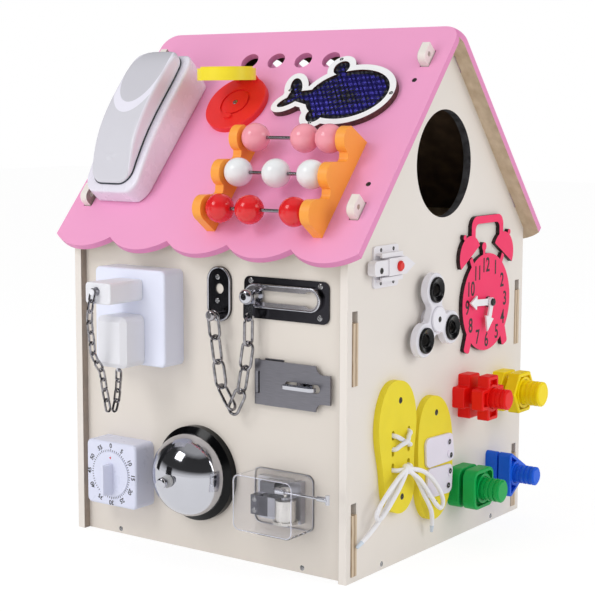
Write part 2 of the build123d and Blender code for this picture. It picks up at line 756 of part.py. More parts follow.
# ---------------------------------------------------------------- abacus
with BuildPart() as abacus_brackets:
    lobe_top = ROD_N + BRACKET_LOBE
    for bracket_x in BRACKET_X:
        with BuildSketch(roof_side(bracket_x)) as bracket:
            with BuildLine():
                for number, rod_s in enumerate(ROD_S):
                    upper = (rod_s - 8.2, ROD_N + 7.0)
                    lower = (rod_s + 11.3, ROD_N - 4.0)
                    crown = (rod_s + 5.2, lobe_top)
                    root = (ROD_S[0] - 13.5, 0) if number == 0 else (rod_s - 21.3, BRACKET_FOOT_N)
                    Line(root, upper)
                    ThreePointArc(upper, crown, lower)
                    if number < len(ROD_S) - 1:
                        Line(lower, (ROD_S[number + 1] - 21.3, BRACKET_FOOT_N))
                Polyline(
                    (ROD_S[-1] + 11.3, ROD_N - 4.0),
                    (ROD_S[-1] + 10.0, 0),
                    (ROD_S[0] - 13.5, 0),
                )
            make_face()
            valleys = bracket.vertices().filter_by(
                lambda v: abs(v.Y - BRACKET_FOOT_N) < 0.1
            )
            fillet(valleys, VALLEY_R)
        extrude(amount=BRACKET_T / 2, both=True)
    rod_end = BRACKET_X[1] - BRACKET_T / 2 + ROD_SOCKET
    rod_length = rod_end - (BRACKET_X[0] + BRACKET_T / 2 - ROD_SOCKET)
    with BuildSketch(roof_side(rod_end)):
        with Locations([(rod_s, ROD_N) for rod_s in ROD_S]):
            Circle(ROD_D / 2 + ROD_SOCKET_GAP)
    extrude(amount=rod_length, mode=Mode.SUBTRACT)
save(abacus_brackets.part, "abacus_brackets")

with BuildPart() as abacus_rods:
    with BuildSketch(roof_side(rod_end - ROD_SOCKET_GAP)):
        with Locations([(rod_s, ROD_N) for rod_s in ROD_S]):
            Circle(ROD_D / 2)
    extrude(amount=rod_length - 2 * ROD_SOCKET_GAP)
save(abacus_rods.part, "abacus_rods")

for (row_name, row_x), rod_s in zip(BEAD_X.items(), ROD_S):
    for number, bead_x in enumerate(row_x, start=1):
        with BuildPart(roof_side(bead_x)) as bead:
            with Locations((rod_s, ROD_N)):
                Sphere(BEAD_D / 2)
                Cylinder(BEAD_D / 2, BEAD_L, mode=Mode.INTERSECT)
                Cylinder(ROD_D / 2 + BEAD_BORE_GAP, BEAD_L, mode=Mode.SUBTRACT)
        save(bead.part, f"{row_name}_{number}")

# ---------------------------------------------------------------- sequin whale


def whale_shape(grow):
    """Generic whale seen from above the roof, every outline moved out by grow."""
    centre_x, centre_s = WHALE_CENTRE
    with Locations(Location((centre_x, -centre_s, 0), (0, 0, 6))):
        Ellipse(WHALE_RX + grow, WHALE_RS + grow)
    with Locations(Location((centre_x - 40, -centre_s - 3, 0), (0, 0, -4))):
        Trapezoid(26 + 2 * grow, 44 + 2 * grow, 78, rotation=90)
    with Locations(Location((28.5, -74.5, 0), (0, 0, 118))):
        Ellipse(12 + grow, 6 + grow)
    with Locations(Location((27.5, -90, 0), (0, 0, 32))):
        Ellipse(12 + grow, 5 + grow)
    with Locations((67, -52)):
        Circle(8 + grow)
    with Locations((62, -106)):
        Circle(8.5 + grow)


with BuildPart() as whale_frame:
    with BuildSketch(ROOF):
        whale_shape(WHALE_RIM)
    extrude(amount=WHALE_T)
    with BuildSketch(ROOF):
        whale_shape(0)
    extrude(amount=WHALE_T, mode=Mode.SUBTRACT)
save(whale_frame.part, "whale_frame")

with BuildPart() as whale_sequins:
    with BuildSketch(ROOF):
        whale_shape(-FABRIC_GAP)
    extrude(amount=SEQUIN_T)
save(whale_sequins.part, "whale_sequins")

# ---------------------------------------------------------------- wall socket and plugs
PLUG_SEAT = SOCKET_DEPTH + SEAT_GAP


def pin_places(x, z):
    """Middles of a plug's two flat pins."""
    return [(x - PIN_PITCH / 2, z), (x + PIN_PITCH / 2, z)]


with BuildPart() as socket_box:
    with BuildSketch(FRONT):
        with Locations((SOCKET_X, SOCKET_Z)):
            RectangleRounded(SOCKET_W, SOCKET_H, SOCKET_R)
    extrude(amount=SOCKET_DEPTH)
    fillet(socket_box.faces().sort_by(Axis.Y)[0].edges(), SOCKET_EDGE_R)
    with BuildSketch(front_at(SOCKET_DEPTH)):
        with Locations(*pin_places(PLUG_UP_X, PLUG_UP_Z), *pin_places(PLUG_LOW_X, PLUG_LOW_Z)):
            Rectangle(PIN_T + 2 * PIN_GAP, PIN_W + 2 * PIN_GAP)
    extrude(amount=-(PIN_L + PIN_GAP), mode=Mode.SUBTRACT)
save(socket_box.part, "socket_box")

with BuildPart() as plug_upper:
    with BuildSketch(front_at(PLUG_SEAT)):
        with Locations((PLUG_UP_X, PLUG_UP_Z)):
            RectangleRounded(PLUG_UP_W, PLUG_UP_H, PLUG_CORNER_R)
    extrude(amount=PLUG_UP_L)
    fillet(plug_upper.faces().sort_by(Axis.Y)[0].edges(), PLUG_EDGE_R)
    with BuildSketch(front_at(PLUG_SEAT + PLUG_UP_L)):
        with Locations((PLUG_HOLE_X, PLUG_HOLE_Z)):
            Circle(PLUG_HOLE_D / 2)
    extrude(amount=-PLUG_HOLE_DEPTH, mode=Mode.SUBTRACT)
    with BuildSketch(front_at(PLUG_SEAT + PLUG_UP_L - PLUG_HOLE_DEPTH)):
        with Locations((PLUG_HOLE_X, PLUG_HOLE_Z)):
            Circle(PLUG_POST_R)
    post_head = PLUG_CHAIN_H + LINK_S_WIRE / 2 + PLUG_HEAD_PLAY
    extrude(amount=post_head - PLUG_SEAT - PLUG_UP_L + PLUG_HOLE_DEPTH)
    with BuildSketch(front_at(post_head)):
        with Locations((PLUG_HOLE_X, PLUG_HOLE_Z)):
            Circle(PLUG_POST_HEAD_R)
    extrude(amount=PLUG_POST_R)
    with BuildSketch(front_at(PLUG_SEAT)):
        with Locations(*pin_places(PLUG_UP_X, PLUG_UP_Z)):
            Rectangle(PIN_T, PIN_W)
    extrude(amount=-PIN_L)
save(plug_upper.part, "plug_upper")

with BuildPart() as plug_lower:
    with BuildSketch(front_at(PLUG_SEAT)):
        with Locations((PLUG_LOW_X, PLUG_LOW_Z)):
            RectangleRounded(PLUG_LOW_W, PLUG_LOW_H, PLUG_LOW_R)
    extrude(amount=PLUG_LOW_L)
    chamfer(plug_lower.faces().sort_by(Axis.Y)[0].edges(), PLUG_LOW_BEVEL)
    with BuildSketch(front_at(PLUG_SEAT)):
        with Locations(*pin_places(PLUG_LOW_X, PLUG_LOW_Z)):
            Rectangle(PIN_T, PIN_W)
    extrude(amount=-PIN_L)
    lug_z = PLUG_LOW_Z - PLUG_LOW_H / 2 - LUG_DROP
    with BuildSketch(front_side(LUG_X)):
        with Locations((LUG_H, lug_z + LUG_DROP / 2 + LUG_R / 2)):
            Rectangle(2 * LUG_R, LUG_DROP + LUG_R)
        with Locations((LUG_H, lug_z)):
            Circle(LUG_R)
            Circle(LUG_HOLE_R, mode=Mode.SUBTRACT)
    extrude(amount=LUG_T / 2, both=True)
save(plug_lower.part, "plug_lower")


def link_plane(start, end, edge_on):
    """Plane of a link between two contact points, local x along it."""
    along = (end - start).normalized()
    across = along.cross(Vector(0, 1, 0)).normalized()
    return Plane(
        origin=(start + end) / 2,
        x_dir=along,
        z_dir=across if edge_on else along.cross(across),
    )


def flat_link(start, end, edge_on):
    """Small pressed link around two contact points."""
    length = LINK_S_PITCH + 2 * LINK_S_WIRE + LINK_S_PLAY
    with BuildPart() as link:
        with BuildSketch(link_plane(start, end, edge_on)):
            SlotOverall(length, LINK_S_W)
            SlotOverall(length - 2 * LINK_S_WIRE, LINK_S_W - 2 * LINK_S_WIRE, mode=Mode.SUBTRACT)
        extrude(amount=LINK_S_WIRE / 2, both=True)
    return link.part


def link_row(route, face_first):
    """Small links one after another along a route of (x, height, distance in front)."""
    with BuildLine() as line:
        Spline(*[(x, -FRONT_Y - h, z) for x, z, h in route])
    path = line.wire()
    count = round(path.length / LINK_S_PITCH)
    stops = [path.position_at(number / count) for number in range(count + 1)]
    return [
        flat_link(stops[number], stops[number + 1], number % 2 == (1 if face_first else 0))
        for number in range(count)
    ]


plug_chain_top = (PLUG_HOLE_X, PLUG_HOLE_Z + PLUG_POST_R + PLUG_POST_PLAY, PLUG_CHAIN_H)
upper_links = link_row((plug_chain_top, *PLUG_CHAIN_UPPER), True)
lug_contact = (LUG_X, lug_z - LUG_HOLE_R, LUG_H)
lower_links = link_row((lug_contact, *PLUG_CHAIN_LOWER), True)

with BuildPart() as plug_chain_upper:
    add(upper_links)
save(plug_chain_upper.part, "plug_chain_upper")

with BuildPart() as plug_chain_lower:
    add(lower_links)
save(plug_chain_lower.part, "plug_chain_lower")

# ---------------------------------------------------------------- door chain
with BuildPart() as chain_plates:
    with BuildSketch(FRONT):
        with Locations((ANCHOR_X, ANCHOR_Z)):
            SlotOverall(ANCHOR_H, ANCHOR_W, rotation=90)
    extrude(amount=ANCHOR_T + ANCHOR_RIM)
    with BuildSketch(front_at(ANCHOR_T)):
        with Locations((ANCHOR_X, ANCHOR_Z)):
            SlotOverall(ANCHOR_H - 2 * ANCHOR_RIM_W, ANCHOR_W - 2 * ANCHOR_RIM_W, rotation=90)
    extrude(amount=ANCHOR_RIM, mode=Mode.SUBTRACT)
    with BuildSketch(FRONT):
        with Locations((ANCHOR_X, ANCHOR_HOLE_Z)):
            Circle(ANCHOR_HOLE_D / 2)
    extrude(amount=ANCHOR_T, mode=Mode.SUBTRACT)
    head_h = CHAIN_H + LINK_WIRE / 2 + SEAT_GAP
    with BuildSketch(FRONT):
        with Locations((STUD_X, STUD_Z)):
            Circle(STUD_R)
    extrude(amount=head_h + STUD_HEAD_T)
    with BuildSketch(front_at(head_h)):
        with Locations((STUD_X, STUD_Z)):
            Circle(STUD_HEAD_R)
    extrude(amount=STUD_HEAD_T)
    fillet(chain_plates.faces().sort_by(Axis.Y)[0].edges(), STUD_HEAD_T * 0.6)
    track_mid = (TRACK_ENDS[0] + TRACK_ENDS[1]) / 2
    track_run = TRACK_ENDS[1] - TRACK_ENDS[0]
    with BuildSketch(FRONT):
        with Locations((TRACK_X, TRACK_Z)):
            RectangleRounded(TRACK_W, TRACK_H, TRACK_CORNER_R)
    extrude(amount=TRACK_T)
    with BuildSketch(FRONT):
        with Locations((track_mid, TRACK_SLOT_Z)):
            SlotCenterToCenter(track_run, TRACK_SLOT_H + 2 * TRACK_RIM_W)
    extrude(amount=TRACK_RIM_H)
    with BuildSketch(FRONT):
        with Locations((track_mid, TRACK_SLOT_Z)):
            SlotCenterToCenter(track_run, TRACK_CHANNEL_H)
    extrude(amount=TRACK_RIM_H - TRACK_LIP, mode=Mode.SUBTRACT)
    with BuildSketch(FRONT):
        with Locations((track_mid, TRACK_SLOT_Z)):
            SlotCenterToCenter(track_run, TRACK_SLOT_H)
        with Locations((TRACK_ENDS[1], TRACK_SLOT_Z)):
            Circle(KEYHOLE_D / 2)
    extrude(amount=TRACK_RIM_H, mode=Mode.SUBTRACT)
save(chain_plates.part, "chain_plates")

with BuildPart() as chain_slider:
    foot_back = (TRACK_RIM_H - TRACK_LIP - SLIDER_FOOT_T) / 2
    head_back, head_front = SLIDER_HEAD_H
    with BuildSketch(front_top(TRACK_SLOT_Z)):
        with BuildLine():
            Polyline(
                (SLIDER_X, foot_back),
                (SLIDER_X + SLIDER_FOOT_D / 2, foot_back),
                (SLIDER_X + SLIDER_FOOT_D / 2, foot_back + SLIDER_FOOT_T),
                (SLIDER_X + SLIDER_NECK_D / 2, foot_back + SLIDER_FOOT_T),
                (SLIDER_X + SLIDER_NECK_D / 2, CHAIN_H),
                (SLIDER_X + SLIDER_STEM_R, CHAIN_H),
                (SLIDER_X + SLIDER_STEM_R, head_back),
                (SLIDER_X + SLIDER_HEAD_R, head_back + SLIDER_HEAD_EDGE),
                (SLIDER_X + SLIDER_HEAD_R, head_front),
                (SLIDER_X, head_front),
                (SLIDER_X, foot_back),
            )
        make_face()
    revolve(axis=Axis((SLIDER_X, -FRONT_Y, TRACK_SLOT_Z), (0, -1, 0)))
    fillet(chain_slider.faces().sort_by(Axis.Y)[0].edges(), SLIDER_HEAD_ROUND)
    with BuildSketch(front_at(CHAIN_H - EYE_T / 2)) as eye_plate:
        with Locations((SLIDER_X, TRACK_SLOT_Z)):
            Circle(SLIDER_NECK_D / 2 + SLIDER_COLLAR)
        with Locations((EYE_X, EYE_Z)):
            Circle(EYE_R)
        make_hull()
        with Locations((EYE_X, EYE_Z)):
            Circle(EYE_HOLE_R, mode=Mode.SUBTRACT)
    extrude(amount=EYE_T)
save(chain_slider.part, "chain_slider")


def strand_stops(top, angles):
    """Contact points of a strand that hangs from top, each link leaning by its angle."""
    stops = [Vector(top[0], -FRONT_Y - CHAIN_H, top[1])]
    for angle in angles:
        step = Vector(sin(radians(angle)), 0, -cos(radians(angle))) * LINK_PITCH
        stops.append(stops[-1] + step)
    return stops


def round_link(start, end, edge_on):
    """Link of round wire bent into a stadium around two contact points."""
    bend = (LINK_W - LINK_WIRE) / 2
    half = (LINK_PITCH + 2 * LINK_WIRE + LINK_PLAY - LINK_W) / 2
    with BuildPart() as link:
        with BuildLine(link_plane(start, end, edge_on)) as centre_line:
            side = Line((-half, bend), (half, bend))
            ThreePointArc((half, bend), (half + bend, 0), (half, -bend))
            Line((half, -bend), (-half, -bend))
            ThreePointArc((-half, -bend), (-half - bend, 0), (-half, bend))
        with BuildSketch(Plane(origin=side @ 0, z_dir=side % 0)):
            Circle(LINK_WIRE / 2)
        sweep(path=centre_line.wire())
    return link.part


def strand(top, angles, face_first):
    """All links of a strand, turned a quarter from one to the next."""
    stops = strand_stops(top, angles)
    return [
        round_link(stops[number], stops[number + 1], number % 2 == (1 if face_first else 0))
        for number in range(len(angles))
    ]


left_links = strand((STUD_X, STUD_Z + STUD_R), LEFT_ANGLES, True)
right_links = strand((EYE_X, EYE_Z - EYE_HOLE_R), RIGHT_ANGLES, False)

with BuildPart() as chain_strand_left:
    add(left_links)
save(chain_strand_left.part, "chain_strand_left")

with BuildPart() as chain_strand_right:
    add(right_links)
save(chain_strand_right.part, "chain_strand_right")

# ---------------------------------------------------------------- hasp and staple
with BuildPart() as hasp_leaf:
    with BuildSketch(FRONT):
        with Locations(((LEAF_EAR_X + LEAF_X) / 2, HASP_Z)):
            Rectangle(LEAF_X - LEAF_EAR_X, LEAF_H)
        with Locations(((HASP_PIN_X + LEAF_EAR_X) / 2, HASP_Z)):
            Rectangle(LEAF_EAR_X - HASP_PIN_X + 1, HINGE_SLOT_H - 2 * SEAT_GAP)
    extrude(amount=LEAF_T)
    knuckle_half = HINGE_SLOT_H / 2 - SEAT_GAP
    with BuildSketch(front_top(HASP_Z + knuckle_half)):
        with Locations((HASP_PIN_X, HASP_PIN_H)):
            Circle(HASP_ROLL_R)
    extrude(amount=2 * knuckle_half)
    with BuildSketch(front_top(HASP_Z + STRAP_H / 2)):
        with Locations((HASP_PIN_X, HASP_PIN_H)):
            Circle(HASP_PIN_R)
    extrude(amount=STRAP_H)
save(hasp_leaf.part, "hasp_leaf")

with BuildPart() as hasp_strap:
    strap_top = HASP_PIN_H + HASP_ROLL_R
    strap_end = STRAP_X[1]
    with BuildSketch(front_at(strap_top - STRAP_T)) as strap:
        with Locations(((HASP_PIN_X + STRAP_SHOULDER_X) / 2, HASP_Z)):
            Rectangle(STRAP_SHOULDER_X - HASP_PIN_X, STRAP_H)
        with Locations(((STRAP_SHOULDER_X + strap_end) / 2, HASP_Z)):
            Rectangle(strap_end - STRAP_SHOULDER_X, STRAP_END_H)
        for side in (-1, 1):
            with Locations((STRAP_SHOULDER_X, HASP_Z + side * STRAP_H / 2)):
                Circle((STRAP_H - STRAP_END_H) / 2, mode=Mode.SUBTRACT)
        with Locations((sum(STRAP_SLOT_X) / 2, HASP_Z)):
            SlotOverall(STRAP_SLOT_X[1] - STRAP_SLOT_X[0], STRAP_SLOT_H, mode=Mode.SUBTRACT)
        with Locations((HASP_PIN_X, HASP_Z)):
            Rectangle(2 * (HINGE_SLOT_X - HASP_PIN_X), HINGE_SLOT_H, mode=Mode.SUBTRACT)
    extrude(amount=STRAP_T)
    with BuildSketch(front_at(strap_top)):
        with Locations((strap_end - STRAP_T / 2, HASP_Z)):
            Rectangle(STRAP_T, STRAP_END_H)
    extrude(amount=-STRAP_LIP_H)
    roll_length = (STRAP_H - HINGE_SLOT_H) / 2
    for top_z in (HASP_Z + STRAP_H / 2, HASP_Z - HINGE_SLOT_H / 2):
        with BuildSketch(front_top(top_z)):
            with Locations((HASP_PIN_X, HASP_PIN_H)):
                Circle(HASP_ROLL_R)
        extrude(amount=roll_length)
    with BuildSketch(front_top(HASP_Z + STRAP_H / 2)):
        with Locations((HASP_PIN_X, HASP_PIN_H)):
            Circle(HASP_PIN_R + HINGE_FIT)
    extrude(amount=STRAP_H, mode=Mode.SUBTRACT)
save(hasp_strap.part, "hasp_strap")

with BuildPart() as hasp_staple:
    with BuildSketch(front_at(SEAT_GAP)):
        with Locations((STAPLE_X, HASP_Z)):
            Circle(STAPLE_WASHER_R)
    extrude(amount=STAPLE_WASHER_T)
    loop_low, loop_high = STAPLE_LOOP_H
    with BuildSketch(front_at(SEAT_GAP)):
        with Locations((STAPLE_X, HASP_Z)):
            Circle(STAPLE_POST_R)
    extrude(amount=loop_low)
    with BuildSketch(front_top(HASP_Z + STAPLE_WIRE / 2)):
        with Locations((STAPLE_X, (loop_low + loop_high) / 2)):
            SlotOverall(2 * STAPLE_HALF, loop_high - loop_low)
            SlotOverall(
                2 * (STAPLE_HALF - STAPLE_WIRE),
                loop_high - loop_low - 2 * STAPLE_INNER_WIRE,
                mode=Mode.SUBTRACT,
            )
    extrude(amount=STAPLE_WIRE)
save(hasp_staple.part, "hasp_staple")

# ---------------------------------------------------------------- kitchen timer
with BuildPart() as timer_case:
    with BuildSketch(FRONT):
        with Locations((TIMER_X, TIMER_Z)):
            RectangleRounded(TIMER_W, TIMER_W, TIMER_R)
    extrude(amount=TIMER_DEPTH)
    fillet(timer_case.faces().sort_by(Axis.Y)[0].edges(), TIMER_EDGE_R)
    with BuildSketch(front_at(TIMER_DEPTH)):
        with Locations((TIMER_X, TIMER_Z)):
            Circle(DIAL_SPINDLE_R + HINGE_FIT)
    extrude(amount=-(DIAL_SPINDLE_L + SEAT_GAP), mode=Mode.SUBTRACT)
save(timer_case.part, "timer_case")

with BuildPart() as timer_dial:
    dial_back = TIMER_DEPTH + SEAT_GAP
    with BuildSketch(front_at(dial_back)):
        with Locations((TIMER_X, TIMER_Z)):
            Circle(DIAL_R)
    extrude(amount=DIAL_T)
    chamfer(timer_dial.faces().sort_by(Axis.Y)[0].edges(), DIAL_EDGE)
    with BuildSketch(front_at(dial_back + DIAL_T)):
        with Locations((TIMER_X, TIMER_Z)):
            SlotOverall(2 * (DIAL_R - DIAL_EDGE - GRIP_INSET), GRIP_W, rotation=90)
    extrude(amount=GRIP_H, taper=8)
    with BuildSketch(front_at(dial_back)):
        with Locations((TIMER_X, TIMER_Z)):
            Circle(DIAL_SPINDLE_R)
    extrude(amount=-DIAL_SPINDLE_L)
save(timer_dial.part, "timer_dial")

# ---------------------------------------------------------------- desk bell
BELL_AXIS = Axis((BELL_X, -FRONT_Y, BELL_Z), (0, -1, 0))
BELL_SEAT_H = BELL_TOP_H - BELL_WALL - SEAT_GAP
BELL_NUT_H = BELL_TOP_H + SEAT_GAP
# Side view of the bell: local x along its axis away from the panel, local y its radius.
BELL_SIDE = Plane(origin=(BELL_X, -FRONT_Y, BELL_Z), x_dir=(0, -1, 0), z_dir=(-1, 0, 0))

with BuildPart() as bell_base:
    with BuildSketch(BELL_SIDE):
        with BuildLine():
            Polyline(
                (0, 0),
                (0, BELL_BASE_R),
                (BELL_BASE_H - 4, BELL_BASE_R),
                (BELL_BASE_H, BELL_BASE_R - 6),
                (BELL_BASE_H, BELL_POST_R),
                (BELL_SEAT_H, BELL_POST_R),
                (BELL_SEAT_H, BELL_NECK_R),
                (BELL_NUT_H, BELL_NECK_R),
                (BELL_NUT_H, BELL_NUT_R),
                (BELL_NUT_H + BELL_NUT_T, BELL_NUT_R),
                (BELL_NUT_H + BELL_NUT_T, 0),
                close=True,
            )
        make_face()
    revolve(axis=BELL_AXIS)
    with BuildSketch(front_at(BELL_NUT_H + BELL_NUT_T)):
        with Locations((BELL_X, BELL_Z)):
            Circle(BELL_STEM_R + HINGE_FIT)
    extrude(amount=-(BELL_STEM_L + SEAT_GAP), mode=Mode.SUBTRACT)
save(bell_base.part, "bell_base")

with BuildPart() as bell_dome:
    dome_rise = BELL_TOP_H - BELL_RIM_H
    with BuildSketch(BELL_SIDE):
        with Locations((BELL_RIM_H, 0)):
            Ellipse(dome_rise, BELL_DOME_R)
            Ellipse(dome_rise - BELL_WALL, BELL_DOME_R - BELL_WALL, mode=Mode.SUBTRACT)
        with Locations((BELL_RIM_H, BELL_NECK_R + SEAT_GAP)):
            Rectangle(
                dome_rise,
                BELL_DOME_R,
                align=(Align.MIN, Align.MIN),
                mode=Mode.INTERSECT,
            )
    revolve(axis=BELL_AXIS)
save(bell_dome.part, "bell_dome")

with BuildPart() as bell_button:
    stem_back = BELL_NUT_H + BELL_NUT_T - BELL_STEM_L + BELL_TRAVEL
    stem_front = stem_back + BELL_STEM_L
    with BuildSketch(front_at(stem_back)):
        with Locations((BELL_X, BELL_Z)):
            Circle(BELL_STEM_R)
    extrude(amount=BELL_STEM_L + SEAT_GAP)
    with BuildSketch(front_at(stem_front + SEAT_GAP)):
        with Locations((BELL_X, BELL_Z)):
            Circle(BELL_BUTTON_R)
    extrude(amount=BELL_BUTTON_T)
    fillet(bell_button.faces().sort_by(Axis.Y)[0].edges(), BELL_BUTTON_T / 2)
save(bell_button.part, "bell_button")

# ---------------------------------------------------------------- music box
case_mid = (sum(CASE_X) / 2, sum(CASE_Z) / 2)
case_w = CASE_X[1] - CASE_X[0]
case_h = CASE_Z[1] - CASE_Z[0]
bed_low, bed_top = BED_H

with BuildPart() as music_case:
    with BuildSketch(FRONT):
        with Locations(case_mid):
            RectangleRounded(case_w, case_h, CASE_R)
    extrude(amount=CASE_DEPTH)
    fillet(music_case.faces().sort_by(Axis.Y)[0].edges(), CASE_EDGE_R)
    with BuildSketch(FRONT):
        with Locations(case_mid):
            RectangleRounded(case_w - 2 * CASE_WALL, case_h - 2 * CASE_WALL, CASE_R - CASE_WALL)
    extrude(amount=CASE_DEPTH - CASE_WALL, mode=Mode.SUBTRACT)
    with BuildSketch(front_side(CASE_X[1] + 1)):
        with Locations((CRANK_H, CRANK_Z)):
            Circle(CRANK_R + HINGE_FIT)
    extrude(amount=CASE_WALL + 2, mode=Mode.SUBTRACT)
save(music_case.part, "music_case")

with BuildPart() as music_movement:
    with BuildSketch(front_at(bed_low)):
        with Locations((sum(BED_X) / 2, sum(BED_Z) / 2)):
            Rectangle(BED_X[1] - BED_X[0], BED_Z[1] - BED_Z[0])
    extrude(amount=bed_top - bed_low)
    comb_mid = sum(COMB_Z) / 2
    with BuildSketch(front_at(bed_top)):
        with Locations((COMB_X[0] + COMB_ROOT / 2, comb_mid)):
            Rectangle(COMB_ROOT, COMB_Z[1] - COMB_Z[0])
    extrude(amount=COMB_H - bed_top)
    with BuildSketch(front_at(COMB_H)):
        with Locations((sum(COMB_X) / 2, comb_mid)):
            Rectangle(COMB_X[1] - COMB_X[0], COMB_Z[1] - COMB_Z[0])
        tooth_pitch = (COMB_Z[1] - COMB_Z[0]) / COMB_TEETH
        with Locations(((COMB_X[0] + COMB_ROOT + COMB_X[1]) / 2, comb_mid)):
            with GridLocations(1, tooth_pitch, 1, COMB_TEETH - 1):
                Rectangle(COMB_X[1] - COMB_X[0] - COMB_ROOT, COMB_SLIT, mode=Mode.SUBTRACT)
    extrude(amount=COMB_T)
    for bearing_z in (GEAR_Z[0] - SEAT_GAP, DRUM_Z[1] + SEAT_GAP + BEARING_T):
        with BuildSketch(front_top(bearing_z)):
            with Locations((DRUM_X, DRUM_AXIS_H)):
                Circle(BEARING_R)
            with Locations((DRUM_X, (bed_top + DRUM_AXIS_H) / 2)):
                Rectangle(2 * BEARING_R, DRUM_AXIS_H - bed_top)
            with Locations((DRUM_X, DRUM_AXIS_H)):
                Circle(ARBOR_R + HINGE_FIT, mode=Mode.SUBTRACT)
        extrude(amount=BEARING_T)
    worm_mid = DRUM_X
    with BuildSketch(front_side(worm_mid - WORM_L / 2 - SEAT_GAP)):
        with Locations((CRANK_H, CRANK_Z)):
            Circle(CRANK_BEARING_R)
        with Locations(((bed_top + CRANK_H) / 2, CRANK_Z)):
            Rectangle(CRANK_H - bed_top, 2 * CRANK_BEARING_R)
        with Locations((CRANK_H, CRANK_Z)):
            Circle(CRANK_R + HINGE_FIT, mode=Mode.SUBTRACT)
    extrude(amount=BEARING_T)
    governor_w, governor_t, governor_l = GOVERNOR
    with BuildSketch(front_at(bed_top)):
        with Locations((COMB_X[1] - 9, BED_Z[1] - 1 - governor_t / 2)):
            Rectangle(governor_w, governor_t)
    extrude(amount=governor_l)
save(music_movement.part, "music_movement")

with BuildPart() as music_drum:
    with BuildSketch(front_top(DRUM_Z[1])):
        with Locations((DRUM_X, DRUM_AXIS_H)):
            Circle(DRUM_R)
    extrude(amount=DRUM_Z[1] - GEAR_Z[1])
    with BuildSketch(front_top(GEAR_Z[1])):
        with Locations((DRUM_X, DRUM_AXIS_H)):
            Circle(GEAR_R - GEAR_TOOTH)
            with PolarLocations(GEAR_R - GEAR_TOOTH / 2 - 0.1, GEAR_TEETH):
                Rectangle(GEAR_TOOTH + 0.2, GEAR_TOOTH)
    extrude(amount=GEAR_Z[1] - GEAR_Z[0])
    with BuildSketch(front_top(CRANK_Z + WHEEL_T / 2)):
        with Locations((DRUM_X, DRUM_AXIS_H)):
            Circle(WHEEL_R)
    extrude(amount=WHEEL_T)
    with BuildSketch(front_top(CRANK_Z + WHEEL_T / 2)):
        with Locations((DRUM_X, DRUM_AXIS_H)):
            Circle(ARBOR_R)
    extrude(amount=CRANK_Z + WHEEL_T / 2 - GEAR_Z[0] + SEAT_GAP + BEARING_T)
save(music_drum.part, "music_drum")

with BuildPart() as music_crank:
    crank_back = worm_mid - WORM_L / 2 - SEAT_GAP - BEARING_T
    sleeve_back, sleeve_front = CRANK_SLEEVE_X
    with BuildSketch(front_side(sleeve_front)):
        with Locations((CRANK_H, CRANK_Z)):
            Circle(CRANK_R)
    extrude(amount=sleeve_front - crank_back)
    with BuildSketch(front_side(worm_mid + WORM_L / 2)):
        with Locations((CRANK_H, CRANK_Z)):
            Circle(WORM_R)
    extrude(amount=WORM_L)
    with BuildSketch(front_side(sleeve_front)):
        with Locations((CRANK_H, CRANK_Z)):
            Circle(CRANK_SLEEVE_R)
    extrude(amount=sleeve_front - sleeve_back)
    with BuildSketch(front_top(CRANK_Z + CRANK_CROSS_L / 2)):
        with Locations((sleeve_front, CRANK_H)):
            Circle(CRANK_CROSS_R)
    extrude(amount=CRANK_CROSS_L)
save(music_crank.part, "music_crank")

# ---------------------------------------------------------------- latch
LATCH_CENTRE = (LATCH_Y, LATCH_Z)
slide_back, slide_step, slide_front = SLIDE_H
rail_mid = (SLIDE_HT / 2 + SEAT_GAP + LATCH_RAIL_T / 2)

with BuildPart() as latch_plate:
    with BuildSketch(GABLE):
        with Locations(LATCH_CENTRE):
            RectangleRounded(LATCH_W, LATCH_HT, LATCH_CORNER_R)
    extrude(amount=LATCH_T)
    with BuildSketch(GABLE):
        with Locations(LATCH_CENTRE):
            with GridLocations(1, 2 * rail_mid, 1, 2):
                Rectangle(LATCH_W - 2 * LATCH_CORNER_R, LATCH_RAIL_T)
    extrude(amount=LATCH_RAIL_H)
    with BuildSketch(gable_at(slide_step + SEAT_GAP)):
        with Locations(LATCH_CENTRE):
            with GridLocations(1, 2 * (rail_mid - LATCH_RAIL_LIP / 2), 1, 2):
                Rectangle(LATCH_W - 2 * LATCH_CORNER_R, LATCH_RAIL_T + LATCH_RAIL_LIP)
    extrude(amount=LATCH_RAIL_H - slide_step - SEAT_GAP)
save(latch_plate.part, "latch_plate")

with BuildPart() as latch_bolt:
    slide_left, slide_tip = SLIDE_Y
    for half, back, front in (
        (SLIDE_HT / 2, slide_back, slide_step),
        (SLIDE_HT / 2 - SLIDE_STEP, slide_step, slide_front),
    ):
        with BuildSketch(gable_at(back)):
            with BuildLine():
                Polyline(
                    (slide_left, LATCH_Z - half),
                    (SLIDE_TAPER_Y, LATCH_Z - half),
                    (slide_tip, LATCH_Z),
                    (SLIDE_TAPER_Y, LATCH_Z + half),
                    (slide_left, LATCH_Z + half),
                    close=True,
                )
            make_face()
        extrude(amount=front - back)
    with BuildSketch(gable_at(slide_back)) as nose:
        with Locations(((BOLT_Y + slide_left) / 2, LATCH_Z)):
            Rectangle(slide_left - BOLT_Y, BOLT_HT)
        fillet(nose.vertices().group_by(Axis.X)[0], BOLT_HT * 0.3)
    extrude(amount=BOLT_DEPTH)
    with BuildSketch(gable_at(slide_front)):
        with Locations((LATCH_BUTTON_Y, LATCH_Z)):
            Circle(LATCH_BUTTON_R)
    extrude(amount=LATCH_BUTTON_T)
    chamfer(latch_bolt.faces().sort_by(Axis.X)[-1].edges(), LATCH_BUTTON_T / 2)
save(latch_bolt.part, "latch_bolt")

# ---------------------------------------------------------------- fidget spinner
SPIN_AT = (SPIN_Y, SPIN_Z)

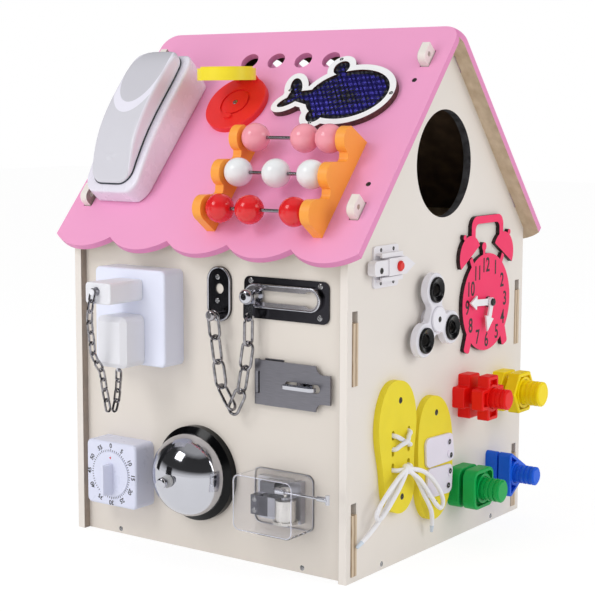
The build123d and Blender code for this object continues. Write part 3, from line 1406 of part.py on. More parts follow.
with BuildPart() as spinner_rotor:
    with BuildSketch(gable_at(SPIN_BACK_H)) as rotor:
        with Locations(SPIN_AT):
            Circle(SPIN_HUB_R)
            with PolarLocations(SPIN_ARM, 3, start_angle=SPIN_START):
                Circle(SPIN_LOBE_R)
        webs = [v for v in rotor.vertices() if v.distance_to((SPIN_Y, SPIN_Z, 0)) > 1]
        fillet(webs, SPIN_WEB_R)
    extrude(amount=SPIN_T)
    chamfer(spinner_rotor.faces().filter_by(Axis.X).edges(), 0.6)
    with BuildSketch(gable_at(SPIN_BACK_H + SPIN_T)):
        with Locations(SPIN_AT):
            with PolarLocations(SPIN_ARM, 3, start_angle=SPIN_START):
                Circle(CAP_R)
    extrude(amount=CAP_PROUD)
    with BuildSketch(gable_at(SPIN_BACK_H)):
        with Locations(SPIN_AT):
            Circle(SPIN_AXLE_R + HINGE_FIT)
            with PolarLocations(SPIN_ARM, 3, start_angle=SPIN_START):
                Circle(CAP_HOLE_R)
    extrude(amount=SPIN_T + CAP_PROUD, mode=Mode.SUBTRACT)
save(spinner_rotor.part, "spinner_rotor")

with BuildPart() as spinner_hub:
    with BuildSketch(GABLE):
        with Locations(SPIN_AT):
            Circle(SPIN_SPACER_R)
    extrude(amount=SPIN_BACK_H - SEAT_GAP)
    with BuildSketch(GABLE):
        with Locations(SPIN_AT):
            Circle(SPIN_AXLE_R)
    extrude(amount=SPIN_BACK_H + SPIN_T + SEAT_GAP + SPIN_CAP_T)
    with BuildSketch(gable_at(SPIN_BACK_H + SPIN_T + SEAT_GAP)):
        with Locations(SPIN_AT):
            Circle(SPIN_CAP_R)
    extrude(amount=SPIN_CAP_T)
    chamfer(spinner_hub.faces().sort_by(Axis.X)[-1].edges(), SPIN_CAP_T / 2)
save(spinner_hub.part, "spinner_hub")

# ---------------------------------------------------------------- alarm clock face
HOUR_H = CLOCK_T + CLOCK_SPACER_T + SEAT_GAP
MINUTE_H = HOUR_H + HAND_T + HAND_GAP
PIN_TOP_H = MINUTE_H + HAND_T + SEAT_GAP

with BuildPart() as clock_face:
    handle_half, handle_low, handle_high, handle_bar = CLOCK_HANDLE
    foot_out, foot_down, foot_w = CLOCK_FOOT
    with BuildSketch(GABLE):
        with Locations((CLOCK_Y, CLOCK_Z)):
            with Locations((0, (handle_low + handle_high) / 2)):
                RectangleRounded(2 * handle_half + 14, handle_high - handle_low, 10)
                RectangleRounded(
                    2 * handle_half + 14 - 2 * handle_bar,
                    handle_high - handle_low - 2 * handle_bar,
                    6,
                    mode=Mode.SUBTRACT,
                )
            for side in (-1, 1):
                bell = Location(
                    (side * CLOCK_BELL_X, CLOCK_BELL_Z, 0), (0, 0, -side * CLOCK_BELL_TILT)
                )
                with Locations(bell):
                    Circle(CLOCK_BELL_R)
                    Rectangle(
                        3 * CLOCK_BELL_R,
                        CLOCK_BELL_R,
                        align=(Align.CENTER, Align.MAX),
                        mode=Mode.SUBTRACT,
                    )
                    with Locations((0, -1.5)):
                        Rectangle(5, 9, align=(Align.CENTER, Align.MAX))
                    with Locations((0, CLOCK_BELL_R + 0.8 * CLOCK_KNOB_R)):
                        Circle(CLOCK_KNOB_R)
                foot = Location((side * foot_out, -foot_down + 6, 0), (0, 0, side * 20))
                with Locations(foot):
                    RectangleRounded(foot_w, 22, 3)
            with Locations((-6, CLOCK_R)):
                Rectangle(CLOCK_STEM_W, 10)
            with Locations((-6, CLOCK_R + 6.5)):
                Circle(CLOCK_HAMMER_R)
            Circle(CLOCK_R)
    extrude(amount=CLOCK_T)
    for radius, height in (
        (CLOCK_SPACER_R, CLOCK_T + CLOCK_SPACER_T),
        (CLOCK_PIN_R, PIN_TOP_H + 1.2),
    ):
        with BuildSketch(GABLE):
            with Locations((CLOCK_PIN_Y, CLOCK_Z)):
                Circle(radius)
        extrude(amount=height)
    with BuildSketch(gable_at(PIN_TOP_H)):
        with Locations((CLOCK_PIN_Y, CLOCK_Z)):
            Circle(HAND_HUB_R - 0.8)
    extrude(amount=1.4)
save(clock_face.part, "clock_face")


def clock_hand(name, size, height):
    """Arrow hand on the pin, drawn at 12 o'clock and turned clockwise by its angle."""
    length, angle, width = size
    place = Plane(gable_at(height).location * Location((CLOCK_PIN_Y, CLOCK_Z, 0), (0, 0, -angle)))
    with BuildPart() as hand:
        with BuildSketch(place):
            Circle(HAND_HUB_R)
            Rectangle(HAND_W, length - width / 2, align=(Align.CENTER, Align.MIN))
            with BuildLine():
                Polyline(
                    (-width / 2, length - 0.9 * width),
                    (width / 2, length - 0.9 * width),
                    (0, length),
                    close=True,
                )
            make_face()
            Circle(CLOCK_PIN_R + HINGE_FIT, mode=Mode.SUBTRACT)
        extrude(amount=HAND_T)
    save(hand.part, name)


clock_hand("clock_hour_hand", HOUR_HAND, HOUR_H)
clock_hand("clock_minute_hand", MINUTE_HAND, MINUTE_H)

# ---------------------------------------------------------------- shoes
with BuildPart() as shoe_soles:
    with BuildSketch(GABLE):
        for outline in (SOLE_LEFT, SOLE_RIGHT):
            with BuildLine():
                Spline(*outline, periodic=True)
            make_face()
        with Locations([(y, z) for y in LACE_HOLE_Y for z in LACE_HOLE_Z]):
            SlotCenterToCenter(2 * LACE_PASS, LACE_HOLE_D, rotation=90, mode=Mode.SUBTRACT)
    extrude(amount=SOLE_T)
save(shoe_soles.part, "shoe_soles")

with BuildPart() as shoe_straps:
    for outline in (FLAP_UPPER, FLAP_LOWER):
        with BuildSketch(gable_at(SOLE_T + SEAT_GAP)) as flap:
            with BuildLine():
                Polyline(*outline, close=True)
            make_face()
            fillet(flap.vertices(), FLAP_R)
        extrude(amount=STRAP_FLAP_T)
    with BuildSketch(gable_at(SOLE_T + SEAT_GAP + STRAP_FLAP_T)):
        with Locations(
            *[(outline[1][0] - FLAP_R, (outline[1][1] + outline[2][1]) / 2 + dz)
              for outline in (FLAP_UPPER, FLAP_LOWER)
              for dz in (-5.5, 5.5)]
        ):
            Circle(RIVET_R)
    extrude(amount=RIVET_T)
save(shoe_straps.part, "shoe_straps")

# ---------------------------------------------------------------- lace
knot_y, knot_z, knot_h = KNOT_AT


def lace(points):
    """Limp tube through points (y, z, distance from the gable), bends as wide as the runs allow."""
    route = [Vector(GABLE_X + h, y, z) for y, z, h in points]
    radii = []
    for before, here, after in zip(route, route[1:], route[2:]):
        turn = radians((here - before).get_angle(after - here))
        run = min((here - before).length, (after - here).length)
        radii.append(0.45 * run / tan(turn / 2))
    print("lace radii", [round(r, 1) for r in radii])
    with BuildPart() as tube:
        with BuildLine() as path:
            FilletPolyline(*route, radius=radii)
        with BuildSketch(Plane(origin=route[0], z_dir=route[1] - route[0])):
            Circle(LACE_D / 2)
        sweep(path=path.wire())
        length = path.wire().length
        share = tube.part.volume / (length * pi * LACE_D ** 2 / 4)
        print("lace length", round(length, 1), "volume over section times length", round(share, 4))
        with Locations((GABLE_X + knot_h, knot_y, knot_z)):
            Sphere(KNOT_R + KNOT_GAP, mode=Mode.SUBTRACT)
    return tube.part


def crossing(start, end, top):
    """Lace from one hole to another, its middle top high."""
    (y0, z0), (y1, z1) = start, end
    near = [(y0 + (y1 - y0) * f, z0 + (z1 - z0) * f) for f in (0.22, 0.5, 0.78)]
    return [
        (y0, z0, LACE_DIVE), (y0, z0, LACE_LOW + 0.6), (*near[0], LACE_LOW + 0.9),
        (*near[1], top), (*near[2], LACE_LOW + 0.9), (y1, z1, LACE_LOW + 0.6),
        (y1, z1, LACE_DIVE),
    ]


left_y, right_y = LACE_HOLE_Y
row_top, row_middle, row_bottom = LACE_HOLE_Z
LACE_RUNS = (
    crossing((left_y, row_top), (right_y, row_middle + LACE_PASS), LACE_LOW + 0.3),
    crossing((right_y, row_top), (left_y, row_middle + LACE_PASS), LACE_HIGH),
    crossing((left_y, row_middle - LACE_PASS), (right_y, row_bottom + LACE_PASS), LACE_LOW + 0.3),
    crossing((right_y, row_middle - LACE_PASS), (left_y, row_bottom + LACE_PASS), LACE_HIGH),
    [
        (left_y, row_bottom - LACE_PASS, LACE_DIVE), (left_y, row_bottom - LACE_PASS, LACE_LOW + 1.6),
        (knot_y - KNOT_R + 1, knot_z, knot_h - 1.2),
    ],
    [
        (right_y, row_bottom - LACE_PASS, LACE_DIVE), (right_y, row_bottom - LACE_PASS, LACE_LOW + 1.6),
        (knot_y + KNOT_R - 1, knot_z, knot_h - 1.2),
    ],
)
LACE_TAILS = (
    (
        (knot_y - 2.0, knot_z - 1.0, knot_h - 0.6), (-90, 78, 11.0), (-98, 66.5, 9.6),
        (-108.5, 53, 8.8), (-122, 41, 6.5), (-135, 33.5, 4.2),
    ),
    (
        (knot_y + 2.0, knot_z - 1.0, knot_h - 0.6), (-66, 79.5, 11.6), (-57.5, 70, 11.9),
        (-49.5, 58.5, 12.0), (-39.5, 47, 12.0), (-31.5, 36, 11.0), (-28.8, 25.5, 9.0),
    ),
    (
        (knot_y - 2.2, knot_z + 0.2, knot_h + 0.8), (-92, 84, 15.2), (-106, 76, 15.0),
        (-119, 65.5, 13.6), (-127.5, 55.5, 12.4), (-121.5, 49.5, 12.2), (-110, 56.5, 12.8),
        (-98.5, 67.5, 14.0), (-89.5, 77.5, 15.2), (knot_y - 1.2, knot_z - 1.5, knot_h + 0.8),
    ),
    (
        (knot_y + 2.2, knot_z, knot_h + 1.0), (-60, 82.5, 15.8), (-44.5, 73.5, 16.0),
        (-29.5, 60, 16.0), (-20, 47, 15.6), (-23.5, 39.5, 15.5), (-32, 44.5, 15.5),
        (-43.5, 56, 15.8), (-55, 67.5, 16.0), (-65.5, 77, 16.0),
        (knot_y + 1.2, knot_z - 1.5, knot_h + 1.0),
    ),
)
lace_tubes = [lace(points) for points in (*LACE_RUNS, *LACE_TAILS)]

with BuildPart() as shoe_lace:
    add(lace_tubes)
    with Locations((GABLE_X + knot_h, knot_y, knot_z)):
        Sphere(KNOT_R)
save(shoe_lace.part, "shoe_lace")

# ---------------------------------------------------------------- toy bolts and nuts


def cross(width, arm):
    """Plus sign of two bars."""
    with BuildSketch() as shape:
        Rectangle(width, arm)
        Rectangle(arm, width)
        fillet(shape.vertices(), 2.0)
    return shape.sketch


def hexagon(radius):
    """Hexagon standing on a flat side."""
    with BuildSketch() as shape:
        RegularPolygon(radius, 6)
        fillet(shape.vertices(), 2.0)
    return shape.sketch


def square(width, corner):
    """Square with round corners."""
    with BuildSketch() as shape:
        RectangleRounded(width, width, corner)
    return shape.sketch


def triangle(side, corner):
    """Even triangle pointing to the rear, its upright side to the front."""
    with BuildSketch() as shape:
        RegularPolygon(side / 3 ** 0.5, 3)
        fillet(shape.vertices(), corner)
    return shape.sketch


BOLTS = (
    ("nut_red", RED_AT, cross(RED_W, RED_ARM), RED_SHANK_R, RED_NUT),
    ("nut_yellow", YELLOW_AT, hexagon(YELLOW_R), YELLOW_SHANK_R, YELLOW_NUT),
    ("nut_green", GREEN_AT, square(GREEN_W, GREEN_R), GREEN_SHANK_R, GREEN_NUT),
    ("nut_blue", BLUE_AT, triangle(BLUE_SIDE, BLUE_R), BLUE_SHANK_R, BLUE_NUT),
)


def toy_bolt(at, head, shank_r):
    """Bolt with a ridged shank standing on its head."""
    with BuildPart() as bolt:
        with BuildSketch(gable_at(0)):
            with Locations(at):
                add(head)
        extrude(amount=HEAD_T)
        fillet(bolt.faces().sort_by(Axis.X)[-1].edges(), NUT_EDGE_R)
        with BuildSketch(gable_at(0)):
            with Locations(at):
                Circle(shank_r - RIDGE_H)
        extrude(amount=BOLT_LEN)
        for number in range(RIDGE_COUNT):
            ridge = BOLT_LEN - (number + 0.5) * RIDGE_PITCH
            with BuildSketch(gable_at(ridge - RIDGE_PITCH / 4)):
                with Locations(at):
                    Circle(shank_r)
            extrude(amount=RIDGE_PITCH / 2)
        chamfer(bolt.faces().sort_by(Axis.X)[-1].edges(), RIDGE_H)
    return bolt.part


toy_bolt_parts = [toy_bolt(at, shape, shank_r) for name, at, shape, shank_r, span in BOLTS]

with BuildPart() as toy_bolts:
    add(toy_bolt_parts)
save(toy_bolts.part, "toy_bolts")

for nut_name, at, shape, shank_r, (nut_back, nut_front) in BOLTS:
    with BuildPart() as nut:
        with BuildSketch(gable_at(nut_back)):
            with Locations(at):
                add(shape)
        extrude(amount=nut_front - nut_back)
        fillet(nut.faces().sort_by(Axis.X)[-1].edges(), NUT_EDGE_R)
        with BuildSketch(gable_at(nut_front)):
            with Locations(at):
                add(offset(shape, amount=-NUT_WALL, mode=Mode.PRIVATE))
                Circle(shank_r + NUT_GAP + NUT_COLLAR, mode=Mode.SUBTRACT)
        extrude(amount=-NUT_RECESS, mode=Mode.SUBTRACT)
        with BuildSketch(gable_at(nut_back)):
            with Locations(at):
                Circle(shank_r + NUT_GAP)
        extrude(amount=nut_front - nut_back, mode=Mode.SUBTRACT)
    save(nut.part, nut_name)
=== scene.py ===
# %% [markdown]
# # Dressing a wooden busy board
# A busy board is a small plywood house covered with things a toddler can turn, slide, press and
# lace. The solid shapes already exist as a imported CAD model. This script loads them, gives every
# one a finish, and adds the small things that are only worth making as meshes: screws, numbers,
# sequins, pins and laces.
# The model comes first because every new piece is placed by its measures.

# %% Load the model
import math
import bmesh
import bpy
from mathutils import Matrix, Vector
from mathutils.bvhtree import BVHTree


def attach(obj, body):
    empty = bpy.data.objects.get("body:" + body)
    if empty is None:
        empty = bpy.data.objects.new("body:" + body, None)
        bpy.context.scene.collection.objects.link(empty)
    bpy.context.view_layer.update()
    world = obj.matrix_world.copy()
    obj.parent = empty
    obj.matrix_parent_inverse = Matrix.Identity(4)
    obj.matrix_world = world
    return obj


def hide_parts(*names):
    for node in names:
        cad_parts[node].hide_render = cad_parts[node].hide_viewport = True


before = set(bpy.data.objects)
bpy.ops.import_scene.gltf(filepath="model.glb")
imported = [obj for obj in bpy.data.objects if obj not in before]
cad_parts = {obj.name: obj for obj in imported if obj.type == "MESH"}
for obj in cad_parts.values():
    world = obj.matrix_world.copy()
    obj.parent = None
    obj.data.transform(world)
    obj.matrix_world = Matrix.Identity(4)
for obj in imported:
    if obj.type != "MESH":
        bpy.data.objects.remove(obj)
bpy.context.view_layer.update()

# %% [markdown]
# # Three faces to build on
# Nearly everything is fixed to one of three boards: the front panel, the right gable and the front
# roof board. Working in world coordinates on a sloping roof is awkward, so each board gets a small
# matrix. A piece is drawn flat, in millimetres, with X to the right, Y up the board and Z standing
# off it, and the matrix carries it to its place in metres. The three faces lie at PANEL_Y, at
# GABLE_X, and on a slope of 49 degrees that falls from RIDGE_Z.

# %% Matrices of the boards
def board_matrix(origin, right, up, out):
    """Matrix from millimetres on a board to metres in the scene."""
    turn = Matrix((right, up, out)).transposed().to_4x4()
    return Matrix.Translation(Vector(origin) / 1000) @ turn @ Matrix.Scale(0.001, 4)


SLOPE = math.radians(49)
C, S = math.cos(SLOPE), math.sin(SLOPE)
PANEL_Y, GABLE_X, RIDGE_Z = -145.5, 150, 461.226
ON_FRONT = board_matrix((0, PANEL_Y, 0), (1, 0, 0), (0, 0, 1), (0, -1, 0))
ON_GABLE = board_matrix((GABLE_X, 0, 0), (0, 1, 0), (0, 0, 1), (1, 0, 0))
ON_ROOF = board_matrix((0, 0, RIDGE_Z), (1, 0, 0), (0, C, S), (0, -S, C))
print("a point 100 mm down the roof:", tuple(round(v, 4) for v in ON_ROOF @ Vector((0, -100, 0))))

# %% [markdown]
# # The camera
# The house is seen from its front right corner, a little above the eaves, through a long lens, so
# that the upright edges stay nearly upright. A small shift of the lens frames the house without
# turning the camera, which would make those edges lean.

# %% Camera
eye = bpy.data.cameras.new("eye")
eye.lens, eye.sensor_width, eye.sensor_fit = 92.91, 36, "HORIZONTAL"
eye.shift_x, eye.shift_y = 0.0625, -0.0257
camera = bpy.data.objects.new("camera", eye)
camera.location = (0.825366, -1.179366, 0.394804)
camera.rotation_euler = (math.radians(90 - 6.956), 0, math.radians(36.621))
bpy.context.scene.collection.objects.link(camera)
bpy.context.scene.camera = camera
print("camera at", tuple(round(v, 3) for v in camera.location))

# %% [markdown]
# # Colours and finishes
# A shader works with linear light, while the colours we read on a screen are bent by a curve, so
# `paint` turns 0 to 255 numbers into linear ones. No real surface is one flat colour: paint pools,
# plastic has soft clouds in it and hands leave smudges. `surface` therefore starts every finish the
# same way: a noise texture on Object coordinates drifts between two close colours, a second one
# drives the roughness, and a third gives a fine bump. Sizes are given in millimetres.

# %% Colours and plain nodes
def paint(red, green, blue):
    """Screen colour, 0 to 255, as linear numbers with alpha."""
    def unbend(value):
        value = value / 255
        return value / 12.92 if value <= 0.04045 else ((value + 0.055) / 1.055) ** 2.4
    return (unbend(red), unbend(green), unbend(blue), 1.0)


def add_node(tree, kind, **settings):
    """New node of a kind, with its settings."""
    node = tree.nodes.new("ShaderNode" + kind)
    for key, value in settings.items():
        setattr(node, key, value)
    return node


def maths(tree, operation, first, second=None):
    """Output of a Math node. Inputs are numbers or other outputs."""
    node = add_node(tree, "Math", operation=operation)
    for socket, value in zip(node.inputs, (first, second)):
        if value is None:
            continue
        if isinstance(value, (int, float)):
            socket.default_value = value
        else:
            tree.links.new(value, socket)
    return node.outputs[0]


print("mid grey is", round(paint(128, 128, 128)[0], 3), "in linear light")


# %% Places, noise and mixed colours
def places(tree):
    """X, Y and Z of the Object coordinates, in metres."""
    where = add_node(tree, "TexCoord")
    split = add_node(tree, "SeparateXYZ")
    tree.links.new(where.outputs["Object"], split.inputs[0])
    return split.outputs


def noise(tree, size, stretch=(1, 1, 1), detail=3.0):
    """Noise whose clouds are about size millimetres across, stretched along the axes."""
    where = add_node(tree, "TexCoord")
    fit = add_node(tree, "Mapping")
    fit.inputs["Scale"].default_value = [1 / axis for axis in stretch]
    cloud = add_node(tree, "TexNoise")
    cloud.inputs["Scale"].default_value = 1000 / size
    cloud.inputs["Detail"].default_value = detail
    tree.links.new(where.outputs["Object"], fit.inputs["Vector"])
    tree.links.new(fit.outputs[0], cloud.inputs["Vector"])
    return cloud.outputs["Fac"]


def between(tree, factor, low, high, start=0.3, end=0.7):
    """Colour that runs from low to high as factor goes from start to end."""
    ramp = add_node(tree, "ValToRGB")
    ramp.color_ramp.elements[0].position, ramp.color_ramp.elements[0].color = start, low
    ramp.color_ramp.elements[1].position, ramp.color_ramp.elements[1].color = end, high
    tree.links.new(factor, ramp.inputs[0])
    return ramp.outputs[0]


def mixed(tree, factor, first, second):
    """Colour first where factor is 0 and second where it is 1."""
    mix = add_node(tree, "Mix", data_type="RGBA")
    tree.links.new(factor, mix.inputs[0])
    for socket, value in zip((mix.inputs[6], mix.inputs[7]), (first, second)):
        if isinstance(value, tuple):
            socket.default_value = value
        else:
            tree.links.new(value, socket)
    return mix.outputs[2]


print("noise and mixing ready")


# %% Finishes
def shaded(colour, share):
    """The same colour, darker or lighter by a share."""
    return tuple(min(1.0, part * share) for part in colour[:3]) + (1.0,)


def surface(name, colour, rough, cloud=40, drift=0.06, grain=0.6, bump=0.05, **sockets):
    """New finish with drifting colour, uneven gloss and a fine bump."""
    finish = bpy.data.materials.new(name)
    finish.use_nodes = True
    tree = finish.node_tree
    shader = tree.nodes["Principled BSDF"]
    for socket, value in sockets.items():
        shader.inputs[socket.replace("_", " ")].default_value = value
    base = between(tree, noise(tree, cloud), shaded(colour, 1 - drift), shaded(colour, 1 + drift))
    tree.links.new(base, shader.inputs["Base Color"])
    smudge = add_node(tree, "MapRange")
    smudge.inputs["To Min"].default_value = max(0.0, rough - 0.05)
    smudge.inputs["To Max"].default_value = rough + 0.07
    tree.links.new(noise(tree, cloud / 3), smudge.inputs["Value"])
    tree.links.new(smudge.outputs[0], shader.inputs["Roughness"])
    relief = add_node(tree, "Bump")
    relief.inputs["Strength"].default_value = bump
    relief.inputs["Distance"].default_value = 0.0004
    tree.links.new(noise(tree, grain), relief.inputs["Height"])
    tree.links.new(relief.outputs[0], shader.inputs["Normal"])
    return finish


def recolour(finish, colour):
    """Feeds the base colour of a finish from a node."""
    tree = finish.node_tree
    tree.links.new(colour, tree.nodes["Principled BSDF"].inputs["Base Color"])


def repaint(finish, mask, colour):
    """Paints colour over a finish where mask is 1."""
    tree = finish.node_tree
    base = tree.nodes["Principled BSDF"].inputs["Base Color"].links[0].from_socket
    recolour(finish, mixed(tree, mask, base, colour))


def dress(finish, *names):
    """Gives CAD nodes a finish."""
    for name in names:
        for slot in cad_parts[name].material_slots:
            slot.material = finish
    print(finish.name, "on", ", ".join(names))


print("finishes ready to mix")

# %% [markdown]
# # Plywood
# The boards are thin plywood with a satin cream paint on the outside faces. Inside the house and on
# sawn ends the bare wood shows: tan, with thin layers glued crosswise. Inside the house, and deep
# in the slots, it is darkened with painted shade. One finish can do both, because the bare parts
# are where a simple rule on the coordinates says so: nearer the middle of the house than the
# painted faces. Such a rule is a mask, 1 where it holds and 0 elsewhere, and masks are joined by
# multiplying them.

# %% Bare wood
def bare_wood(tree):
    """Colour of bare plywood: long streaks over soft clouds."""
    streaks = noise(tree, 9, stretch=(1, 1, 12), detail=6)
    return between(tree, streaks, paint(194, 170, 140), paint(224, 204, 178))


def dim_wood(tree):
    """Bare plywood darkened with painted shade, as it looks from outside, deep in the unlit house.
    """
    return between(tree, noise(tree, 14), paint(88, 70, 54), paint(122, 98, 76))


print("two woods ready")

# %% Masks
SOFT_EDGE = 0.0002


def within(tree, at, limit):
    """1 nearer the middle plane than limit, in metres, with a soft edge."""
    edge = add_node(tree, "MapRange")
    edge.inputs["From Min"].default_value = limit + SOFT_EDGE
    edge.inputs["From Max"].default_value = limit - SOFT_EDGE
    tree.links.new(maths(tree, "ABSOLUTE", at), edge.inputs["Value"])
    return edge.outputs[0]


def beyond(tree, at, limit):
    """1 farther from the middle plane than limit, in metres."""
    return maths(tree, "GREATER_THAN", maths(tree, "ABSOLUTE", at), limit)


def spot(tree, centre, radius):
    """1 within radius of a line along X through centre, all in metres."""
    y, z = places(tree)[1:]
    dy = maths(tree, "SUBTRACT", y, centre[0])
    dz = maths(tree, "SUBTRACT", z, centre[1])
    square = maths(tree, "ADD", maths(tree, "MULTIPLY", dy, dy), maths(tree, "MULTIPLY", dz, dz))
    return maths(tree, "LESS_THAN", maths(tree, "SQRT", square), radius)


def product(tree, first, *others):
    """1 where all the masks are 1."""
    for other in others:
        first = maths(tree, "MULTIPLY", first, other)
    return first


print("soft edges are", SOFT_EDGE * 2000, "mm wide")

# %% [markdown]
# The gables are painted on the outside. Their inside faces and the slots that the tabs of the
# panels go through show bare wood darkened with painted shade, and the round window was cut by a
# laser, so its edge is burnt dark. The panels show the layers of the plywood on the ends of their
# tabs, where a wave texture draws the stripes.

# %% Gables
WINDOW = (0, 0.3425)
cream_paint = surface("cream_paint", paint(235, 228, 221), 0.42, cloud=90, drift=0.015, grain=0.9,
                      bump=0.10)
tree = cream_paint.node_tree
x, y, z = places(tree)
# The inside faces get bare wood darkened with painted shade.
repaint(cream_paint, within(tree, x, 0.1426), dim_wood(tree))
# The slots round the tabs get the same painted shade.
slot = product(tree, within(tree, y, 0.1452), within(tree, x, 0.1498), beyond(tree, y, 0.1377),
               maths(tree, "LESS_THAN", z, 0.285))
repaint(cream_paint, slot, dim_wood(tree))
burnt = product(tree, spot(tree, WINDOW, 0.0474), maths(tree, "LESS_THAN", x, 0.1499),
                maths(tree, "GREATER_THAN", x, 0))
char = between(tree, noise(tree, 6), paint(52, 50, 52), paint(96, 96, 100))
repaint(cream_paint, burnt, char)
dress(cream_paint, "gable_left", "gable_right")

# %% Front and rear panels
cream_panel = surface("cream_panel_paint", paint(228, 220, 211), 0.42, cloud=90, drift=0.015,
                      grain=0.9, bump=0.10)
tree = cream_panel.node_tree
x, y = places(tree)[:2]
# The inside faces get bare wood darkened with painted shade.
repaint(cream_panel, within(tree, y, 0.1381), dim_wood(tree))
ply = add_node(tree, "TexWave", wave_type="BANDS", bands_direction="Y")
ply.inputs["Scale"].default_value = 60
ply.inputs["Distortion"].default_value = 1.5
where = add_node(tree, "TexCoord")
tree.links.new(where.outputs["Object"], ply.inputs["Vector"])
layers = between(tree, ply.outputs["Fac"], paint(172, 146, 118), paint(214, 194, 168), 0.2, 0.8)
repaint(cream_panel, beyond(tree, x, 0.1426), layers)
# The panel's shoulder, seen deep in the slot above the tab, gets painted shade.
shoulder_in_shade = product(tree, within(tree, x, 0.1428), within(tree, y, 0.1452),
                   beyond(tree, x, 0.1405))
repaint(cream_panel, shoulder_in_shade, dim_wood(tree))
dress(cream_panel, "front_panel", "rear_panel")

# %% Floor board
floor_wood = surface("bare_plywood", paint(200, 176, 148), 0.6, cloud=60, grain=1.5, bump=0.2)
recolour(floor_wood, bare_wood(floor_wood.node_tree))
dress(floor_wood, "floor_board")

# %% [markdown]
# # The pink roof
# The roof boards are sprayed pink on the faces and edges, and left bare underneath. The edges get a
# darker pink and the underside inside the house a dark wood, both painted shade. The rule for the
# bare side is the height above the board, which is a dot product with the slope of the roof.
# Taking the absolute value of Y lets one finish serve both slopes.

# %% Roof paint
def off_roof(tree, y, z):
    """Height above the face of the roof boards, in metres, on either slope."""
    rise = maths(tree, "MULTIPLY", maths(tree, "SUBTRACT", z, RIDGE_Z / 1000), C)
    return maths(tree, "ADD", rise, maths(tree, "MULTIPLY", maths(tree, "ABSOLUTE", y), S))


roof_paint = surface("roof_paint", paint(243, 163, 206), 0.45, cloud=120, drift=0.02, grain=0.9,
                     bump=0.10)
tree = roof_paint.node_tree
x, y, z = places(tree)
height = off_roof(tree, y, z)
# The edges of the boards get a darker pink: painted shade.
repaint(roof_paint, maths(tree, "LESS_THAN", height, -0.00012), paint(232, 143, 192))
under = maths(tree, "LESS_THAN", height, -0.0061)
repaint(roof_paint, under, bare_wood(tree))
# Under the roof, inside the house, the bare wood is darkened with painted shade.
indoor_shade = product(tree, under, within(tree, x, 0.1424), within(tree, y, 0.1380))
repaint(roof_paint, indoor_shade, dim_wood(tree))
dress(roof_paint, "roof_front", "roof_rear")

# %% [markdown]
# # Moulded plastic
# Socket, plugs, timer, telephone, latch and spinner are all injection moulded, so they share one
# recipe: a gloss that varies a little, the faint orange-peel of a polished mould, and almost no
# colour drift. Keeping the recipe in one line per colour makes the small differences between the
# whites easy to see and to change.

# %% White and grey plastics
socket_plastic = surface("socket_plastic", paint(234, 237, 254), 0.30, drift=0.012, bump=0.04)
dress(socket_plastic, "socket_box")
plug_plastic = surface("plug_plastic", paint(236, 236, 242), 0.34, drift=0.012, bump=0.05)
dress(plug_plastic, "plug_upper", "plug_lower")
timer_plastic = surface("timer_plastic", paint(224, 227, 246), 0.28, drift=0.012, bump=0.03)
dress(timer_plastic, "timer_case", "timer_dial")
spinner_plastic = surface("spinner_plastic", paint(236, 234, 242), 0.16, drift=0.012, bump=0.03)
dress(spinner_plastic, "spinner_rotor", "spinner_hub")
latch_plastic = surface("latch_plastic", paint(236, 233, 238), 0.36, drift=0.015, bump=0.05)
dress(latch_plastic, "latch_plate", "latch_bolt")
hand_paint = surface("hand_paint", paint(244, 243, 246), 0.40, drift=0.012, bump=0.06)
dress(hand_paint, "clock_hour_hand", "clock_minute_hand")

# %% [markdown]
# The latch has a red thumb button, and the spinner has a dark hole for a weight in each arm. Both
# belong to a solid of one colour, so they are painted by distance: a few Math nodes measure how
# far a point is from the middle of the button or of a weight.

# %% Painted spots
LATCH_BUTTON = (-0.0895, 0.2605)
tree = latch_plastic.node_tree
proud = maths(tree, "GREATER_THAN", places(tree)[0], GABLE_X / 1000 + 0.0104)
repaint(latch_plastic, product(tree, spot(tree, LATCH_BUTTON, 0.0046), proud), paint(226, 28, 22))

SPINNER, ARM = (-29.0, 209.0), 26.3
ARMS = [(SPINNER[0] + ARM * math.cos(math.radians(turn)),
         SPINNER[1] + ARM * math.sin(math.radians(turn))) for turn in (98.2, 218.2, 338.2)]
tree = spinner_plastic.node_tree
for y, z in ARMS:
    repaint(spinner_plastic, spot(tree, (y / 1000, z / 1000), 0.01125), paint(14, 14, 17))
print("spots painted on the latch button and three spinner weights")

# %% [markdown]
# # Bright colours
# Beads and brackets are lacquered wood and plastic in toy colours. Lacquer is a thin clear coat
# over the colour, which the shader has a socket for. Soft rubber soles are matt and speckled.

# %% Beads, brackets and lid
for row, hue, colour, drift in (("top", "pink", paint(246, 160, 174), 0.02),
                                ("middle", "white", paint(238, 240, 242), 0.02),
                                ("bottom", "red", paint(226, 26, 32), 0.04)):
    lacquer = surface(f"bead_{hue}", colour, 0.22, drift=drift, bump=0.03, Coat_Weight=0.3)
    dress(lacquer, *[f"bead_{row}_{number}" for number in (1, 2, 3)])
bracket_orange = surface("bracket_orange", paint(255, 166, 62), 0.38, drift=0.03, bump=0.06)
dress(bracket_orange, "abacus_brackets")
lid_red = surface("lid_red", paint(236, 42, 42), 0.35, drift=0.03, bump=0.05)
dress(lid_red, "flip_lid_base")
lid_yellow = surface("lid_yellow", paint(246, 226, 36), 0.35, drift=0.03, bump=0.05)
dress(lid_yellow, "flip_lid_cover")

# %% Rubber
sole_rubber = surface("sole_rubber", paint(242, 222, 40), 0.62, cloud=25, drift=0.03, grain=0.5,
                      bump=0.30)
dress(sole_rubber, "shoe_soles")
flap_rubber = surface("flap_rubber", paint(234, 228, 242), 0.62, cloud=25, drift=0.02, grain=0.5,
                      bump=0.25)
dress(flap_rubber, "shoe_straps")

